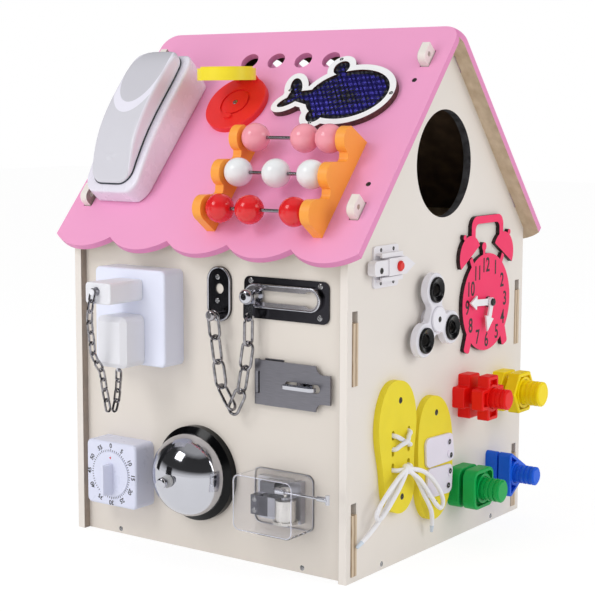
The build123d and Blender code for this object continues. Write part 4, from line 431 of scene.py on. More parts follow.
# %% [markdown]
# Each nut is a node of its own and gets its colour. The four bolts share one node, so there the
# colour is chosen by which quarter of the group a point is in.

# %% Bolts and nuts
BOLT_HUES = {"red": paint(238, 14, 6), "yellow": paint(255, 228, 0), "green": paint(0, 168, 78),
             "blue": paint(20, 100, 232)}


def bolt_finish(hue, colour):
    """Toy plastic of the bolts and nuts."""
    return surface(f"bolt_{hue}", colour, 0.42, drift=0.03, bump=0.05, Specular_IOR_Level=0.3)


for hue, colour in BOLT_HUES.items():
    dress(bolt_finish(hue, colour), f"nut_{hue}")
bolt_mixed = bolt_finish("mixed", BOLT_HUES["red"])
tree = bolt_mixed.node_tree
y, z = places(tree)[1:]
low = maths(tree, "LESS_THAN", z, 0.088)
repaint(bolt_mixed, maths(tree, "GREATER_THAN", y, 0.073), BOLT_HUES["yellow"])
repaint(bolt_mixed, low, BOLT_HUES["green"])
repaint(bolt_mixed, product(tree, low, maths(tree, "GREATER_THAN", y, 0.0635)), BOLT_HUES["blue"])
dress(bolt_mixed, "toy_bolts")

# %% [markdown]
# # Laser-cut shapes
# The clock and the whale's frame are cut from painted board. Their faces keep the paint and the cut
# sides are scorched nearly black, so the finish only has to ask how far a point stands off its
# board.

# %% Clock
clock_paint = surface("clock_paint", paint(250, 56, 108), 0.42, drift=0.025, grain=0.8, bump=0.10,
                      Specular_IOR_Level=0.2)
tree = clock_paint.node_tree
x = places(tree)[0]
char = between(tree, noise(tree, 3), paint(26, 18, 20), paint(64, 44, 46))
repaint(clock_paint, maths(tree, "LESS_THAN", x, GABLE_X / 1000 + 0.00385), char)
pin = maths(tree, "GREATER_THAN", x, GABLE_X / 1000 + 0.0042)
repaint(clock_paint, pin, paint(60, 60, 64))
dress(clock_paint, "clock_face")

# %% Whale frame and backing
frame_paint = surface("whale_frame_paint", paint(243, 243, 244), 0.40, drift=0.015, bump=0.08)
tree = frame_paint.node_tree
height = off_roof(tree, *places(tree)[1:])
char = between(tree, noise(tree, 3), paint(52, 26, 22), paint(96, 56, 48))
repaint(frame_paint, maths(tree, "LESS_THAN", height, 0.00585), char)
dress(frame_paint, "whale_frame")
backing = surface("sequin_backing", paint(22, 22, 40), 0.7, drift=0.15, grain=0.7, bump=0.3)
dress(backing, "whale_sequins")

# %% [markdown]
# # Metals
# Chromed steel mirrors the room, so most of its look comes from what stands around it. The hasp is
# brushed: its noise is stretched along one axis until it turns into fine lines.

# %% Chrome and steel
chrome = surface("chrome", paint(198, 199, 206), 0.07, cloud=30, drift=0.03, bump=0.01,
                 Metallic=1.0)
dress(chrome, "bell_dome", "bell_button", "chain_slider", "music_crank", "hasp_staple")
chain_chrome = surface("chain_chrome", paint(150, 148, 152), 0.12, cloud=5, drift=0.45, bump=0.02,
                       Metallic=1.0)
dress(chain_chrome, "chain_strand_left", "chain_strand_right", "plug_chain_upper",
      "plug_chain_lower")
rod_steel = surface("rod_steel", paint(148, 146, 150), 0.18, drift=0.05, bump=0.02, Metallic=1.0)
dress(rod_steel, "abacus_rods")
brushed = surface("brushed_steel", paint(150, 151, 160), 0.34, drift=0.05, bump=0.02,
                  Metallic=1.0)
tree = brushed.node_tree
lines = noise(tree, 0.25, stretch=(50, 50, 1), detail=3)
recolour(brushed, between(tree, lines, paint(124, 123, 130), paint(142, 141, 148)))
dress(brushed, "hasp_leaf", "hasp_strap")

# %% [markdown]
# Some solids are made of two finishes, one behind the other. The door chain's plates are black
# chrome with a polished rim, and the bell stands on a black base with a bright post. The parts
# are told apart by their height off the panel.

# %% Chain plates and bell base
PANEL = PANEL_Y / 1000
plate_chrome = surface("plate_chrome", paint(62, 61, 66), 0.18, drift=0.08, bump=0.02,
                       Metallic=1.0)
tree = plate_chrome.node_tree
rim = maths(tree, "LESS_THAN", places(tree)[1], PANEL - 0.0021)
repaint(plate_chrome, rim, paint(176, 172, 176))
dress(plate_chrome, "chain_plates")
bell_black = surface("bell_black", paint(8, 8, 10), 0.14, drift=0.10, bump=0.03,
                     Specular_IOR_Level=0.2)
tree = bell_black.node_tree
post = maths(tree, "LESS_THAN", places(tree)[1], PANEL - 0.0125)
repaint(bell_black, post, paint(190, 190, 192))
dress(bell_black, "bell_base")

# %% Music movement
movement = surface("movement_metal", paint(190, 190, 198), 0.30, cloud=12, drift=0.04, bump=0.02,
                   Metallic=0.7)
tree = movement.node_tree
x, y, z = places(tree)
comb = product(tree, maths(tree, "LESS_THAN", x, 0.0795),
               maths(tree, "LESS_THAN", y, PANEL - 0.0115))
repaint(movement, comb, paint(92, 92, 100))
governor = product(tree, maths(tree, "GREATER_THAN", z, 0.0690),
                   maths(tree, "LESS_THAN", y, PANEL - 0.0072))
repaint(movement, governor, paint(104, 104, 110))
dress(movement, "music_movement")
drum_brass = surface("drum_metal", paint(222, 219, 214), 0.30, cloud=12, drift=0.08, bump=0.02,
                     Metallic=0.9)
dress(drum_brass, "music_drum")

# %% [markdown]
# # Clear case
# The music box sits in clear polystyrene. Its walls are thin and flat, so light hardly bends in
# them: the shader passes all light at an index of refraction near that of air, and a clear coat
# adds the bright reflections that show where the walls are.

# %% Clear plastic
clear = surface("clear_plastic", paint(250, 250, 252), 0.03, drift=0.005, bump=0.01,
                Transmission_Weight=1.0, IOR=1.03, Coat_Weight=0.5, Coat_Roughness=0.04)
dress(clear, "music_case")

# %% [markdown]
# # Telephone
# The base is white and the handset pale grey, with a paler crescent below an oval field. Both
# borders are ovals in the plane of the roof, so a few Math nodes turn the coordinates into that
# plane first. Outside the top face, the rounded sides are painted paler: a painted highlight.

# %% Telephone plastic
phone_white = surface("phone_white", paint(232, 228, 240), 0.26, drift=0.012, bump=0.03)
dress(phone_white, "phone_base")
handset_plastic = surface("handset_plastic", paint(212, 211, 219), 0.22, drift=0.012, bump=0.03)
tree = handset_plastic.node_tree
x, y, z = places(tree)
across = maths(tree, "ADD", x, 0.1105)
down = maths(tree, "SUBTRACT",
             maths(tree, "MULTIPLY", maths(tree, "SUBTRACT", RIDGE_Z / 1000, z), S),
             maths(tree, "MULTIPLY", y, C))


def oval(tree, middle, half_width, half_length):
    """1 inside an oval on the handset, in metres down the roof."""
    u = maths(tree, "DIVIDE", across, half_width)
    v = maths(tree, "DIVIDE", maths(tree, "SUBTRACT", down, middle), half_length)
    square = maths(tree, "ADD", maths(tree, "MULTIPLY", u, u), maths(tree, "MULTIPLY", v, v))
    return maths(tree, "LESS_THAN", square, 1.0)


# Outside the top face the rounded sides are painted paler: a painted highlight.
back = maths(tree, "LESS_THAN", maths(tree, "ABSOLUTE", across), 0.0215)
repaint(handset_plastic, maths(tree, "SUBTRACT", 1, back), paint(226, 223, 234))
crescent = product(tree, back, oval(tree, 0.097, 0.0255, 0.043))
repaint(handset_plastic, crescent, paint(236, 234, 246))
field = product(tree, back, oval(tree, 0.092, 0.0215, 0.037))
repaint(handset_plastic, field, paint(205, 204, 212))
dress(handset_plastic, "phone_handset")

# %% [markdown]
# The telephone's edges are soft, like a bar of soap. A voxel remesh turns a copy of each half into
# even little squares, and a smooth modifier then lets the sharp corners melt. The result replaces
# the CAD piece for the eye, while the CAD piece stays in charge of collisions, hidden.

# %% Soft telephone
VOXEL, MELT_PASSES = 0.0009, 45


def melted(node, name, finish, body):
    """Copy of a CAD node with melted edges."""
    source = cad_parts[node]
    made = bpy.data.objects.new(name, source.data.copy())
    bpy.context.scene.collection.objects.link(made)
    made.data.transform(source.matrix_world)
    even = made.modifiers.new("even", "REMESH")
    even.mode, even.voxel_size, even.use_smooth_shade = "VOXEL", VOXEL, True
    melt = made.modifiers.new("melt", "SMOOTH")
    melt.factor, melt.iterations = 0.5, MELT_PASSES
    seen = made.evaluated_get(bpy.context.evaluated_depsgraph_get())
    mesh = bpy.data.meshes.new_from_object(seen)
    made.modifiers.clear()
    made.data = mesh
    mesh.materials.clear()
    mesh.materials.append(finish)
    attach(made, body)
    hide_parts(node)
    print(name, "has", len(mesh.polygons), "faces")
    return made


melted("phone_base", "soft_phone_base", phone_white, "house")
melted("phone_handset", "soft_handset", handset_plastic, "handset")

# %% [markdown]
# # The lace
# A lace is limp and nearly round, and it is the softest line on the toy, so it is a NURBS curve
# with a round bevel: the control points pull a smooth line without kinks. Order and end points are
# set after the points are added, because before that the spline has none to work with.
# It crosses once between the four upper holes, comes out of the lower two, is tied in a bow there,
# and hangs in two loops and two tails. Its weave is a bump of two sets of slanting threads, drawn
# on the curve's own UV map so that they follow every bend.

# %% Cotton finish
lace_cotton = surface("lace_cotton", paint(250, 249, 255), 0.85, cloud=20, drift=0.02, bump=0.1,
                      Sheen_Weight=0.3)
tree = lace_cotton.node_tree
weave_uv = add_node(tree, "TexCoord")
threads = []
for lean in (1, -1):
    fit = add_node(tree, "Mapping")
    fit.inputs["Scale"].default_value = (60, 4 * lean, 1)
    wave = add_node(tree, "TexWave", wave_type="BANDS", bands_direction="DIAGONAL")
    wave.inputs["Scale"].default_value = 1
    tree.links.new(weave_uv.outputs["UV"], fit.inputs["Vector"])
    tree.links.new(fit.outputs[0], wave.inputs["Vector"])
    threads.append(wave.outputs["Fac"])
braid = add_node(tree, "Bump")
braid.inputs["Strength"].default_value = 0.5
braid.inputs["Distance"].default_value = 0.0004
tree.links.new(maths(tree, "MAXIMUM", *threads), braid.inputs["Height"])
tree.links.new(braid.outputs[0], tree.nodes["Principled BSDF"].inputs["Normal"])
print("braid has", len(threads), "sets of threads")

# %% [markdown]
# The points are given on the gable in millimetres: to the rear, up, and out from the board. The
# passes between holes dive into the sole at both ends. The two lower ends run through the knot and
# become the tails, crossing over as the ends of a real bow do.

# %% Lace curves
LACE_LOW, LACE_HIGH, LACE_DIVE, LACE_PASS = 8.2, 13.4, 3.6, 1.95
LEFT, RIGHT = -90.5, -65.0
UPPER_HOLES, MIDDLE_HOLES, LOWER_HOLES = 116, 102, 88
KNOT = (-79.0, 86.0, 12.6)


def pass_between(start, end, top):
    """Points of the lace from one hole to another, its middle top high."""
    points = [(*start, LACE_DIVE), (*start, LACE_LOW + 0.6)]
    for share, high in ((0.22, LACE_LOW + 0.9), (0.5, top), (0.78, LACE_LOW + 0.9)):
        points.append((start[0] + (end[0] - start[0]) * share,
                       start[1] + (end[1] - start[1]) * share, high))
    return points + [(*end, LACE_LOW + 0.6), (*end, LACE_DIVE)]


def lace_curve(name, points):
    """Smooth round curve through the pull of its control points."""
    route = bpy.data.curves.new(name, "CURVE")
    route.dimensions = "3D"
    route.bevel_depth, route.bevel_resolution = 0.0020, 4
    route.use_fill_caps = True
    route.resolution_u = 10
    spline = route.splines.new("NURBS")
    spline.points.add(len(points) - 1)
    for control, point in zip(spline.points, points):
        control.co = (*(ON_GABLE @ Vector(point)), 1)
    spline.order_u = 3
    spline.use_endpoint_u = True
    route.materials.append(lace_cotton)
    lace = bpy.data.objects.new(name, route)
    bpy.context.scene.collection.objects.link(lace)
    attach(lace, "house")
    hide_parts("shoe_lace")
    return lace, tuple(ON_GABLE @ Vector(points[0]))


print("the crossing rises from", LACE_LOW, "to", LACE_HIGH, "mm off the gable")

# %% Lace passes
inner_end = MIDDLE_HOLES + LACE_PASS
passes = {
    "lace_pass_1": (pass_between((LEFT, UPPER_HOLES), (RIGHT, inner_end), LACE_LOW + 0.3), 0.0368),
    "lace_pass_2": (pass_between((RIGHT, UPPER_HOLES), (LEFT, inner_end), LACE_HIGH), 0.0381),
}
for name, (points, length) in passes.items():
    lace, start = lace_curve(name, points)
print("passes:", ", ".join(passes))

# %% [markdown]
# A tail ends in an aglet, the hard tip that goes through the holes. Its profile is spun round an
# axis along the last stretch of the tail. The helpers here serve everything that follows: a shape
# is drawn in a bmesh on its board, and `finish_piece` makes it an object that rides on a body.

# %% Helpers for new pieces
def new_shape():
    """Empty bmesh."""
    return bmesh.new()


def finish_piece(name, shape, board, finish, body="house", slot=None, smooth=True, outward=True):
    """Puts a drawn shape on its board, makes it an object and ties it to a body."""
    bmesh.ops.transform(shape, matrix=board, verts=shape.verts)
    if outward:
        bmesh.ops.recalc_face_normals(shape, faces=shape.faces)
    mesh = bpy.data.meshes.new(name)
    shape.to_mesh(mesh)
    shape.free()
    mesh.materials.append(finish)
    mesh.shade_smooth() if smooth else mesh.shade_flat()
    made = bpy.data.objects.new(name, mesh)
    bpy.context.scene.collection.objects.link(made)
    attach(made, body)
    print(name, "has", len(mesh.polygons), "faces")
    return made


def spun(profile, steps):
    """Shape made by spinning (radius, height) points round Z."""
    shape = new_shape()
    verts = [shape.verts.new((radius, 0, height)) for radius, height in profile]
    edges = [shape.edges.new(pair) for pair in zip(verts, verts[1:])]
    bmesh.ops.spin(shape, geom=verts + edges, cent=(0, 0, 0), axis=(0, 0, 1), angle=2 * math.pi,
                   steps=steps, use_merge=True)
    bmesh.ops.remove_doubles(shape, verts=shape.verts, dist=1e-5)
    return shape


def add_part(shape, part):
    """Moves a second bmesh into a shape."""
    mesh = bpy.data.meshes.new("part")
    part.to_mesh(mesh)
    part.free()
    shape.from_mesh(mesh)
    bpy.data.meshes.remove(mesh)


print("helpers for new pieces ready")


# %% Aglets
def aim(point, direction):
    """Matrix that carries Z to a direction at a point."""
    turn = Vector(direction).to_track_quat("Z", "Y").to_matrix().to_4x4()
    return Matrix.Translation(Vector(point)) @ turn


aglet_plastic = surface("aglet_plastic", paint(214, 226, 240), 0.2, drift=0.02, bump=0.02)


def aglet(name, point, direction):
    """Tapered tip on the end of a tail."""
    shape = spun([(0, -1.5), (1.9, -1.5), (1.95, -1.1), (1.85, 0.5), (1.45, 6.4), (1.1, 7.2),
                  (0, 7.4)], steps=20)
    return finish_piece(name, shape, ON_GABLE @ aim(point, direction), aglet_plastic,
                        slot="lace_white")


print("aglets are made of", aglet_plastic.name)

# %% [markdown]
# The knot is a flattened ball with one turn of lace round it, a ring spun from a small circle.

# %% Knot
RING_R, STRAND_R = 2.9, 1.75
knot_shape = new_shape()
bmesh.ops.create_uvsphere(knot_shape, u_segments=20, v_segments=12, radius=4.0)
bmesh.ops.scale(knot_shape, vec=(1.05, 0.85, 0.9), verts=knot_shape.verts)
turns = [step * math.pi / 6 for step in range(13)]
ring = spun([(RING_R + STRAND_R * math.cos(turn), STRAND_R * math.sin(turn)) for turn in turns],
            steps=28)
bmesh.ops.rotate(ring, cent=(0, 0, 0), matrix=Matrix.Rotation(math.radians(82), 3, "Y"),
                 verts=ring.verts)
add_part(knot_shape, ring)
knot = finish_piece("lace_knot", knot_shape, ON_GABLE @ Matrix.Translation(Vector(KNOT)),
                    lace_cotton, slot="lace_white")
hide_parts("shoe_lace")

# %% Tails
knot_y, knot_z, knot_h = KNOT
low_end = LOWER_HOLES - LACE_PASS
left_end = [(LEFT, low_end, LACE_DIVE), (LEFT, low_end, LACE_LOW + 1.6),
            (knot_y - 4, knot_z, knot_h - 1.2)]
right_end = [(RIGHT, low_end, LACE_DIVE), (RIGHT, low_end, LACE_LOW + 1.6),
             (knot_y + 4, knot_z, knot_h - 1.2)]
left_tail = [(knot_y - 2.0, knot_z - 1.0, knot_h - 0.6), (-90, 78, 11.0), (-98, 66.5, 9.6),
             (-108.5, 53, 8.8), (-122, 41, 6.5), (-135, 33.5, 4.2)]
right_tail = [(knot_y + 2.0, knot_z - 1.0, knot_h - 0.6), (-66, 79.5, 11.6), (-57.5, 70, 11.9),
              (-49.5, 58.5, 12.0), (-39.5, 47, 12.0), (-31.5, 36, 11.0), (-28.8, 25.5, 9.0)]
tips = {
    "lace_tail_left": (right_end + left_tail, 0.0154 + 0.0759),
    "lace_tail_right": (left_end + right_tail, 0.0130 + 0.0787),
}
for name, (points, length) in tips.items():
    lace, start = lace_curve(name, points)
    tip = aglet(name.replace("tail", "aglet"), points[-1], Vector(points[-1]) - Vector(points[-2]))
    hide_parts("shoe_lace")
print("tails:", ", ".join(tips))

# %% Loops
loops = {
    "lace_loop_left": ([
        (knot_y - 2.2, knot_z + 0.2, knot_h + 0.8), (-92, 84, 15.2), (-106, 76, 15.0),
        (-119, 65.5, 13.6), (-127.5, 55.5, 12.4), (-121.5, 49.5, 12.2), (-110, 56.5, 12.8),
        (-98.5, 67.5, 14.0), (-89.5, 77.5, 15.2), (knot_y - 1.2, knot_z - 1.5, knot_h + 0.8),
    ], 0.1175),
    "lace_loop_right": ([
        (knot_y + 2.2, knot_z, knot_h + 1.0), (-60, 82.5, 15.8), (-44.5, 73.5, 16.0),
        (-29.5, 60, 16.0), (-20, 47, 15.6), (-23.5, 39.5, 15.5), (-32, 44.5, 15.5),
        (-43.5, 56, 15.8), (-55, 67.5, 16.0), (-65.5, 77, 16.0),
        (knot_y + 1.2, knot_z - 1.5, knot_h + 1.0),
    ], 0.1480),
}
for name, (points, length) in loops.items():
    lace, start = lace_curve(name, points)
print("loops:", ", ".join(loops))

# %% [markdown]
# # Screws
# Each thing on the board is held by small cross-head screws. A head this size needs a domed disc
# with a real cross sunk in it, so that it catches light like metal instead of looking printed.
# The head starts as a square grid, because a cross lies naturally on its squares. A formula rounds
# the square into a disc, and the faces of the cross are then pushed down.

# %% Screw heads
screw_steel = surface("screw_steel", paint(160, 160, 162), 0.25, cloud=3, drift=0.12, bump=0.02,
                      Metallic=1.0)
dark_screw = surface("dark_screw", paint(70, 68, 66), 0.32, cloud=3, drift=0.15, bump=0.02,
                     Metallic=0.8)


def add_screw(shape, place, turn, radius=2.6, rise=0.7):
    """Adds a cross-head screw at a place (a matrix in millimetres) to a shape."""
    head = new_shape()
    bmesh.ops.create_grid(head, x_segments=14, y_segments=14, size=1)
    cross = [face for face in head.faces
             if min(abs(face.calc_center_median().x), abs(face.calc_center_median().y)) < 0.13
             and max(abs(face.calc_center_median().x), abs(face.calc_center_median().y)) < 0.60]
    for vert in head.verts:
        x, y = vert.co.x, vert.co.y
        disc = Vector((x * math.sqrt(1 - y * y / 2), y * math.sqrt(1 - x * x / 2), 0))
        vert.co = (disc.x * radius, disc.y * radius, rise * (1 - disc.length_squared) ** 0.7
                   if disc.length_squared < 1 else 0.0)
    sunk = bmesh.ops.extrude_face_region(head, geom=cross)["geom"]
    bmesh.ops.translate(head, vec=(0, 0, -0.55 * rise - 0.25),
                        verts=[part for part in sunk if isinstance(part, bmesh.types.BMVert)])
    bmesh.ops.delete(head, geom=cross, context="FACES")
    bmesh.ops.transform(head, matrix=place @ Matrix.Rotation(math.radians(turn), 4, "Z"),
                        verts=head.verts)
    add_part(shape, head)


def add_screws(name, board, places, finish, body="house", slot=None, **size):
    """One piece with a screw at every (x, y, height) of a board, each turned its own way."""
    shape = new_shape()
    for number, place in enumerate(places):
        add_screw(shape, Matrix.Translation(Vector(place)), turn=17 + 41 * number, **size)
    return finish_piece(name, shape, board, finish, body=body, slot=slot, outward=False)


print("a screw head is 2.6 mm in radius unless it says so")

# %% Screws of the boards
roof_screws = [(side * 142.7, -61.9, 0.02) for side in (-1, 1)]
roof_screws += [(side * 144.6, -175.1, 0.02) for side in (-1, 1)]
add_screws("roof_screws", ON_ROOF, roof_screws, dark_screw, slot="rod_steel", radius=2.3)
add_screws("front_screws", ON_FRONT, [(-103.6, 4.2, 0.02), (101.0, 4.4, 0.02)], screw_steel,
           slot="rod_steel", radius=2.3)
add_screws("gable_screws", ON_GABLE, [(-97.5, 5.0, 0.02), (97.2, 4.4, 0.02)], screw_steel,
           slot="rod_steel", radius=2.3)

# %% Screws of the chain plates, abacus and whale
add_screws("anchor_screws", ON_FRONT, [(12.3, 246.5, 1.62), (12.0, 226.0, 1.62)], screw_steel,
           slot="chrome", radius=2.4)
add_screws("track_screws", ON_FRONT, [(48.3, 246.0, 1.62), (119.4, 245.6, 1.62),
                                      (119.0, 219.4, 1.62), (48.5, 219.6, 1.62)],
           screw_steel, slot="chrome")
add_screws("bracket_screws", ON_ROOF, [(120.5, -162.5, 11.9), (120.5, -201.5, 11.9),
                                       (9.0, -162.5, 11.9), (9.0, -201.5, 11.9)],
           screw_steel, slot="rod_steel", radius=2.3, rise=0.5)
add_screws("whale_screws", ON_ROOF, [(62.4, -41.7, 6.0), (23.3, -77.6, 6.0), (61.4, -114.7, 6.0),
                                     (130.2, -81.4, 6.0)],
           screw_steel, slot="rod_steel", radius=1.9, rise=0.5)

# %% Screws of the gable's toys and the lid
add_screws("sole_screws", ON_GABLE, [(-79.0, 144.6, 6.0), (-18.2, 124.3, 6.0), (-74.9, 60.1, 6.0),
                                     (-17.2, 42.3, 6.0)],
           dark_screw, slot="rod_steel", radius=2.8)
add_screws("latch_screws", ON_GABLE, [(-106.0, 274.5, 2.0), (-86.5, 274.5, 2.0),
                                      (-106.0, 246.8, 2.0), (-86.5, 246.8, 2.0)],
           dark_screw, slot="rod_steel", radius=1.7, rise=0.4)
add_screws("latch_knob_screw", ON_GABLE, [(-116.5, 258.5, 9.5)], dark_screw, body="bolt",
           slot="rod_steel")
add_screws("flap_rivets", ON_GABLE, [(0.5, 95.1, 9.2), (3.6, 82.4, 9.2), (2.5, 68.0, 9.2),
                                     (-0.1, 55.4, 9.2)],
           dark_screw, slot="rod_steel", radius=2.5, rise=0.4)
add_screws("spinner_screw", ON_GABLE, [(*SPINNER, 14.4)], dark_screw, slot="rod_steel")
add_screws("lid_screw", ON_ROOF, [(-31.5, -91.5, 6.0)], screw_steel, slot="rod_steel")
add_screws("clock_pin_screw", ON_GABLE, [(75.4, 213.0, 11.35)], dark_screw, slot="rod_steel",
           radius=3.0)

# %% [markdown]
# # Numbers
# Numbers come from Blender's text objects. Text is a curve with faces, so it is turned into a mesh
# first and then placed like everything else. The clock's numbers are cut right through the board
# and read as black, from their charred walls and the shade in the narrow cuts, which is painted in
# the same black; the timer's are printed. A font's size isn't the height of its figures, so the
# wanted height is multiplied by their ratio.

# %% Text as a mesh
SIZE_OF_HEIGHT = 1.42
# One black: printed ink on the timer, and charred walls with painted shade in the clock's cut
# numbers.
ink_and_cut_shade = surface("ink_and_cut_shade_black", paint(22, 20, 22), 0.5, drift=0.1, bump=0.02)
red_ink = surface("ink_red", paint(214, 40, 44), 0.5, drift=0.05, bump=0.02)


def add_words(shape, words, at, height, turn=0.0, thick=0.12, narrow=1.0, bold=0.0):
    """Adds a number to a shape, its middle at (x, y, z) on the board, in millimetres."""
    curve = bpy.data.curves.new("words", "FONT")
    curve.body, curve.size = words, height * SIZE_OF_HEIGHT
    curve.align_x, curve.align_y = "CENTER", "CENTER"
    curve.extrude, curve.offset = thick / 2, bold
    holder = bpy.data.objects.new("words", curve)
    bpy.context.scene.collection.objects.link(holder)
    bpy.context.view_layer.update()
    flat = holder.evaluated_get(bpy.context.evaluated_depsgraph_get()).to_mesh()
    letters = new_shape()
    letters.from_mesh(flat)
    holder.to_mesh_clear()
    bpy.data.objects.remove(holder)
    bpy.data.curves.remove(curve)
    spin = Matrix.Rotation(math.radians(turn), 4, "Z") @ Matrix.Diagonal((narrow, 1, 1, 1))
    lows = [min(vert.co[axis] for vert in letters.verts) for axis in (0, 1)]
    highs = [max(vert.co[axis] for vert in letters.verts) for axis in (0, 1)]
    middle = Vector(((lows[0] + highs[0]) / 2, (lows[1] + highs[1]) / 2, 0))
    bmesh.ops.translate(letters, vec=-middle, verts=letters.verts)
    bmesh.ops.transform(letters, matrix=Matrix.Translation(Vector(at)) @ spin, verts=letters.verts)
    add_part(shape, letters)


print("two inks ready:", ink_and_cut_shade.name, "and", red_ink.name)

# %% Clock numbers
CLOCK_PLACES = ((90.3, 244.0), (103.6, 231.0), (109.6, 213.2), (105.6, 196.0), (94.4, 183.2),
                (75.0, 178.0), (58.2, 182.2), (44.6, 194.2), (38.0, 211.2), (45.2, 227.6),
                (56.4, 241.2), (73.0, 247.6))
clock_numbers = new_shape()
for number, (y, z) in enumerate(CLOCK_PLACES, start=1):
    add_words(clock_numbers, str(number), (y, z, 4.0), 13.0, thick=0.3, narrow=0.80, bold=0.28)
# The clock's cut numbers are painted black: char and painted shade in one colour.
finish_piece("clock_numbers", clock_numbers, ON_GABLE, ink_and_cut_shade, slot="clock_pink", smooth=False)

# %% [markdown]
# # The timer's dial
# The disc of the solid model stands 3.6 mm off the timer, so that it can be turned and tested. The
# real disc lies nearly flush. A copy of the mesh is pressed flat here: each point of the disc's
# front and of the grip's foot is brought nearer to the back by one ratio, and the grip keeps its
# top. The upper half of the grip is drawn in to leave room for the red marker.

# %% Low dial
LOW_DIAL, CAD_DIAL = 0.5, 3.6
TIMER_X, TIMER_Y, TIMER_FACE, DIAL_BACK = -92.5, 62.2, 25.0, 25.3
GRIP_SHARE, GRIP_REACH = 0.55, 19.3
dial = new_shape()
dial.from_mesh(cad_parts["timer_dial"].data)
bmesh.ops.transform(dial, matrix=ON_FRONT.inverted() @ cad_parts["timer_dial"].matrix_world,
                    verts=dial.verts)
for vert in dial.verts:
    x, y, high = vert.co.x - TIMER_X, vert.co.y - TIMER_Y, vert.co.z
    if high > DIAL_BACK + CAD_DIAL - 0.1 and y > 0 and math.hypot(x, y) < GRIP_REACH:
        vert.co.y = TIMER_Y + y * GRIP_SHARE
    if DIAL_BACK + 0.2 < high < DIAL_BACK + CAD_DIAL + 0.01:
        vert.co.z = DIAL_BACK + (vert.co.z - DIAL_BACK) * LOW_DIAL / CAD_DIAL
low_dial = finish_piece("low_dial", dial, ON_FRONT, timer_plastic, body="dial",
                        slot="timer_white", smooth=False)
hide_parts("timer_dial")

# %% [markdown]
# The scale is printed on the case round the disc: a number at every five minutes and a tick at
# every minute, longer at the numbers. Each tick is a cube pressed thin, moved out and then turned
# round the middle.

# %% Timer numbers and ticks
NUMBER_R, TICK_R, TICK_WIDE, PRINT_THICK = 26.2, 20.9, 0.62, 0.08
timer_print = new_shape()
for step in range(12):
    turn = step * 30
    away = Vector((math.sin(math.radians(turn)), math.cos(math.radians(turn)), 0))
    at = Vector((TIMER_X, TIMER_Y, TIMER_FACE)) + away * NUMBER_R
    add_words(timer_print, str(step * 5), at, 4.0, turn=-turn, thick=PRINT_THICK, bold=0.16)
for step in range(60):
    turn = math.radians(step * 6)
    long = 2.4 if step % 5 == 0 else 1.7
    tick = bmesh.ops.create_cube(timer_print, size=1)["verts"]
    bmesh.ops.scale(timer_print, vec=(TICK_WIDE, long, PRINT_THICK), verts=tick)
    bmesh.ops.translate(timer_print, vec=(0, TICK_R + long / 2, TIMER_FACE), verts=tick)
    bmesh.ops.rotate(timer_print, cent=(0, 0, 0), matrix=Matrix.Rotation(-turn, 3, "Z"),
                     verts=tick)
    bmesh.ops.translate(timer_print, vec=(TIMER_X, TIMER_Y, 0), verts=tick)
finish_piece("timer_scale", timer_print, ON_FRONT, ink_and_cut_shade, slot="timer_white", smooth=False)

# %% Timer marker
MARKER_OUT = 15.2
marker = new_shape()
bmesh.ops.create_cone(marker, cap_ends=True, segments=3, radius1=1.5, radius2=1.5, depth=0.2)
bmesh.ops.rotate(marker, cent=(0, 0, 0), matrix=Matrix.Rotation(math.radians(90), 3, "Z"),
                 verts=marker.verts)
bmesh.ops.translate(marker, vec=(TIMER_X, TIMER_Y + MARKER_OUT, DIAL_BACK + LOW_DIAL),
                    verts=marker.verts)
finish_piece("timer_marker", marker, ON_FRONT, red_ink, body="dial", slot="timer_white",
             smooth=False)

# %% [markdown]
# # Sequins
# The whale is filled with sequins that flip from black to blue when they are stroked. Hundreds of
# small overlapping discs, each tipped a little, glitter in a way no bump map does. Each disc is an
# eight-sided circle, cheap enough to repeat, and a ray shot at the fabric tells whether the place
# is inside the whale. A slow wave decides which way each disc is flipped, and the discs along the
# border are black.

# %% Ray to the fabric
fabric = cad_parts["whale_sequins"]
fabric_points = [fabric.matrix_world @ vert.co for vert in fabric.data.vertices]
fabric_tree = BVHTree.FromPolygons(fabric_points, [face.vertices for face in fabric.data.polygons])


def on_fabric(x, y, clear=0.0):
    """Whether the fabric lies under a place on the roof, in millimetres."""
    down = -(ON_ROOF.to_3x3() @ Vector((0, 0, 1))).normalized()
    for dx, dy in ((0, 0), (clear, 0), (-clear, 0), (0, clear), (0, -clear)):
        hit = fabric_tree.ray_cast(ON_ROOF @ Vector((x + dx, y + dy, 30)), down, 0.05)
        if hit[0] is None:
            return False
    return True


print("the fabric has", len(fabric.data.polygons), "faces")

# %% Sequin discs
ROW_GAP, DISC_GAP, DISC_R = 1.5, 2.1, 1.32
blue_discs, black_discs = new_shape(), new_shape()
for row in range(56):
    y = -42 - row * ROW_GAP
    for column in range(62):
        x = 12 + column * DISC_GAP + (DISC_GAP / 2 if row % 2 else 0)
        if not on_fabric(x, y, clear=1.0):
            continue
        wave = math.sin(x * 0.11 + 1.3 * math.sin(y * 0.09)) + math.sin(y * 0.17 + x * 0.04)
        speck = math.sin(x * 12.9 + y * 78.2) * 1.3
        flipped = wave + speck > 0.9 or not on_fabric(x, y, clear=4.5)
        shape = black_discs if flipped else blue_discs
        disc = bmesh.ops.create_circle(shape, cap_ends=True, segments=8, radius=DISC_R)["verts"]
        lean = Matrix.Rotation(math.radians(14 + 5 * math.sin(x * 3.1 + y * 5.3)), 3, "X")
        lean = lean @ Matrix.Rotation(math.radians(8 * math.sin(x * 7.7 - y * 2.9)), 3, "Y")
        bmesh.ops.rotate(shape, cent=(0, 0, 0), matrix=lean, verts=disc)
        bmesh.ops.translate(shape, vec=(x, y, 4.75), verts=disc)
print("discs drawn:", len(blue_discs.faces), "blue,", len(black_discs.faces), "black")

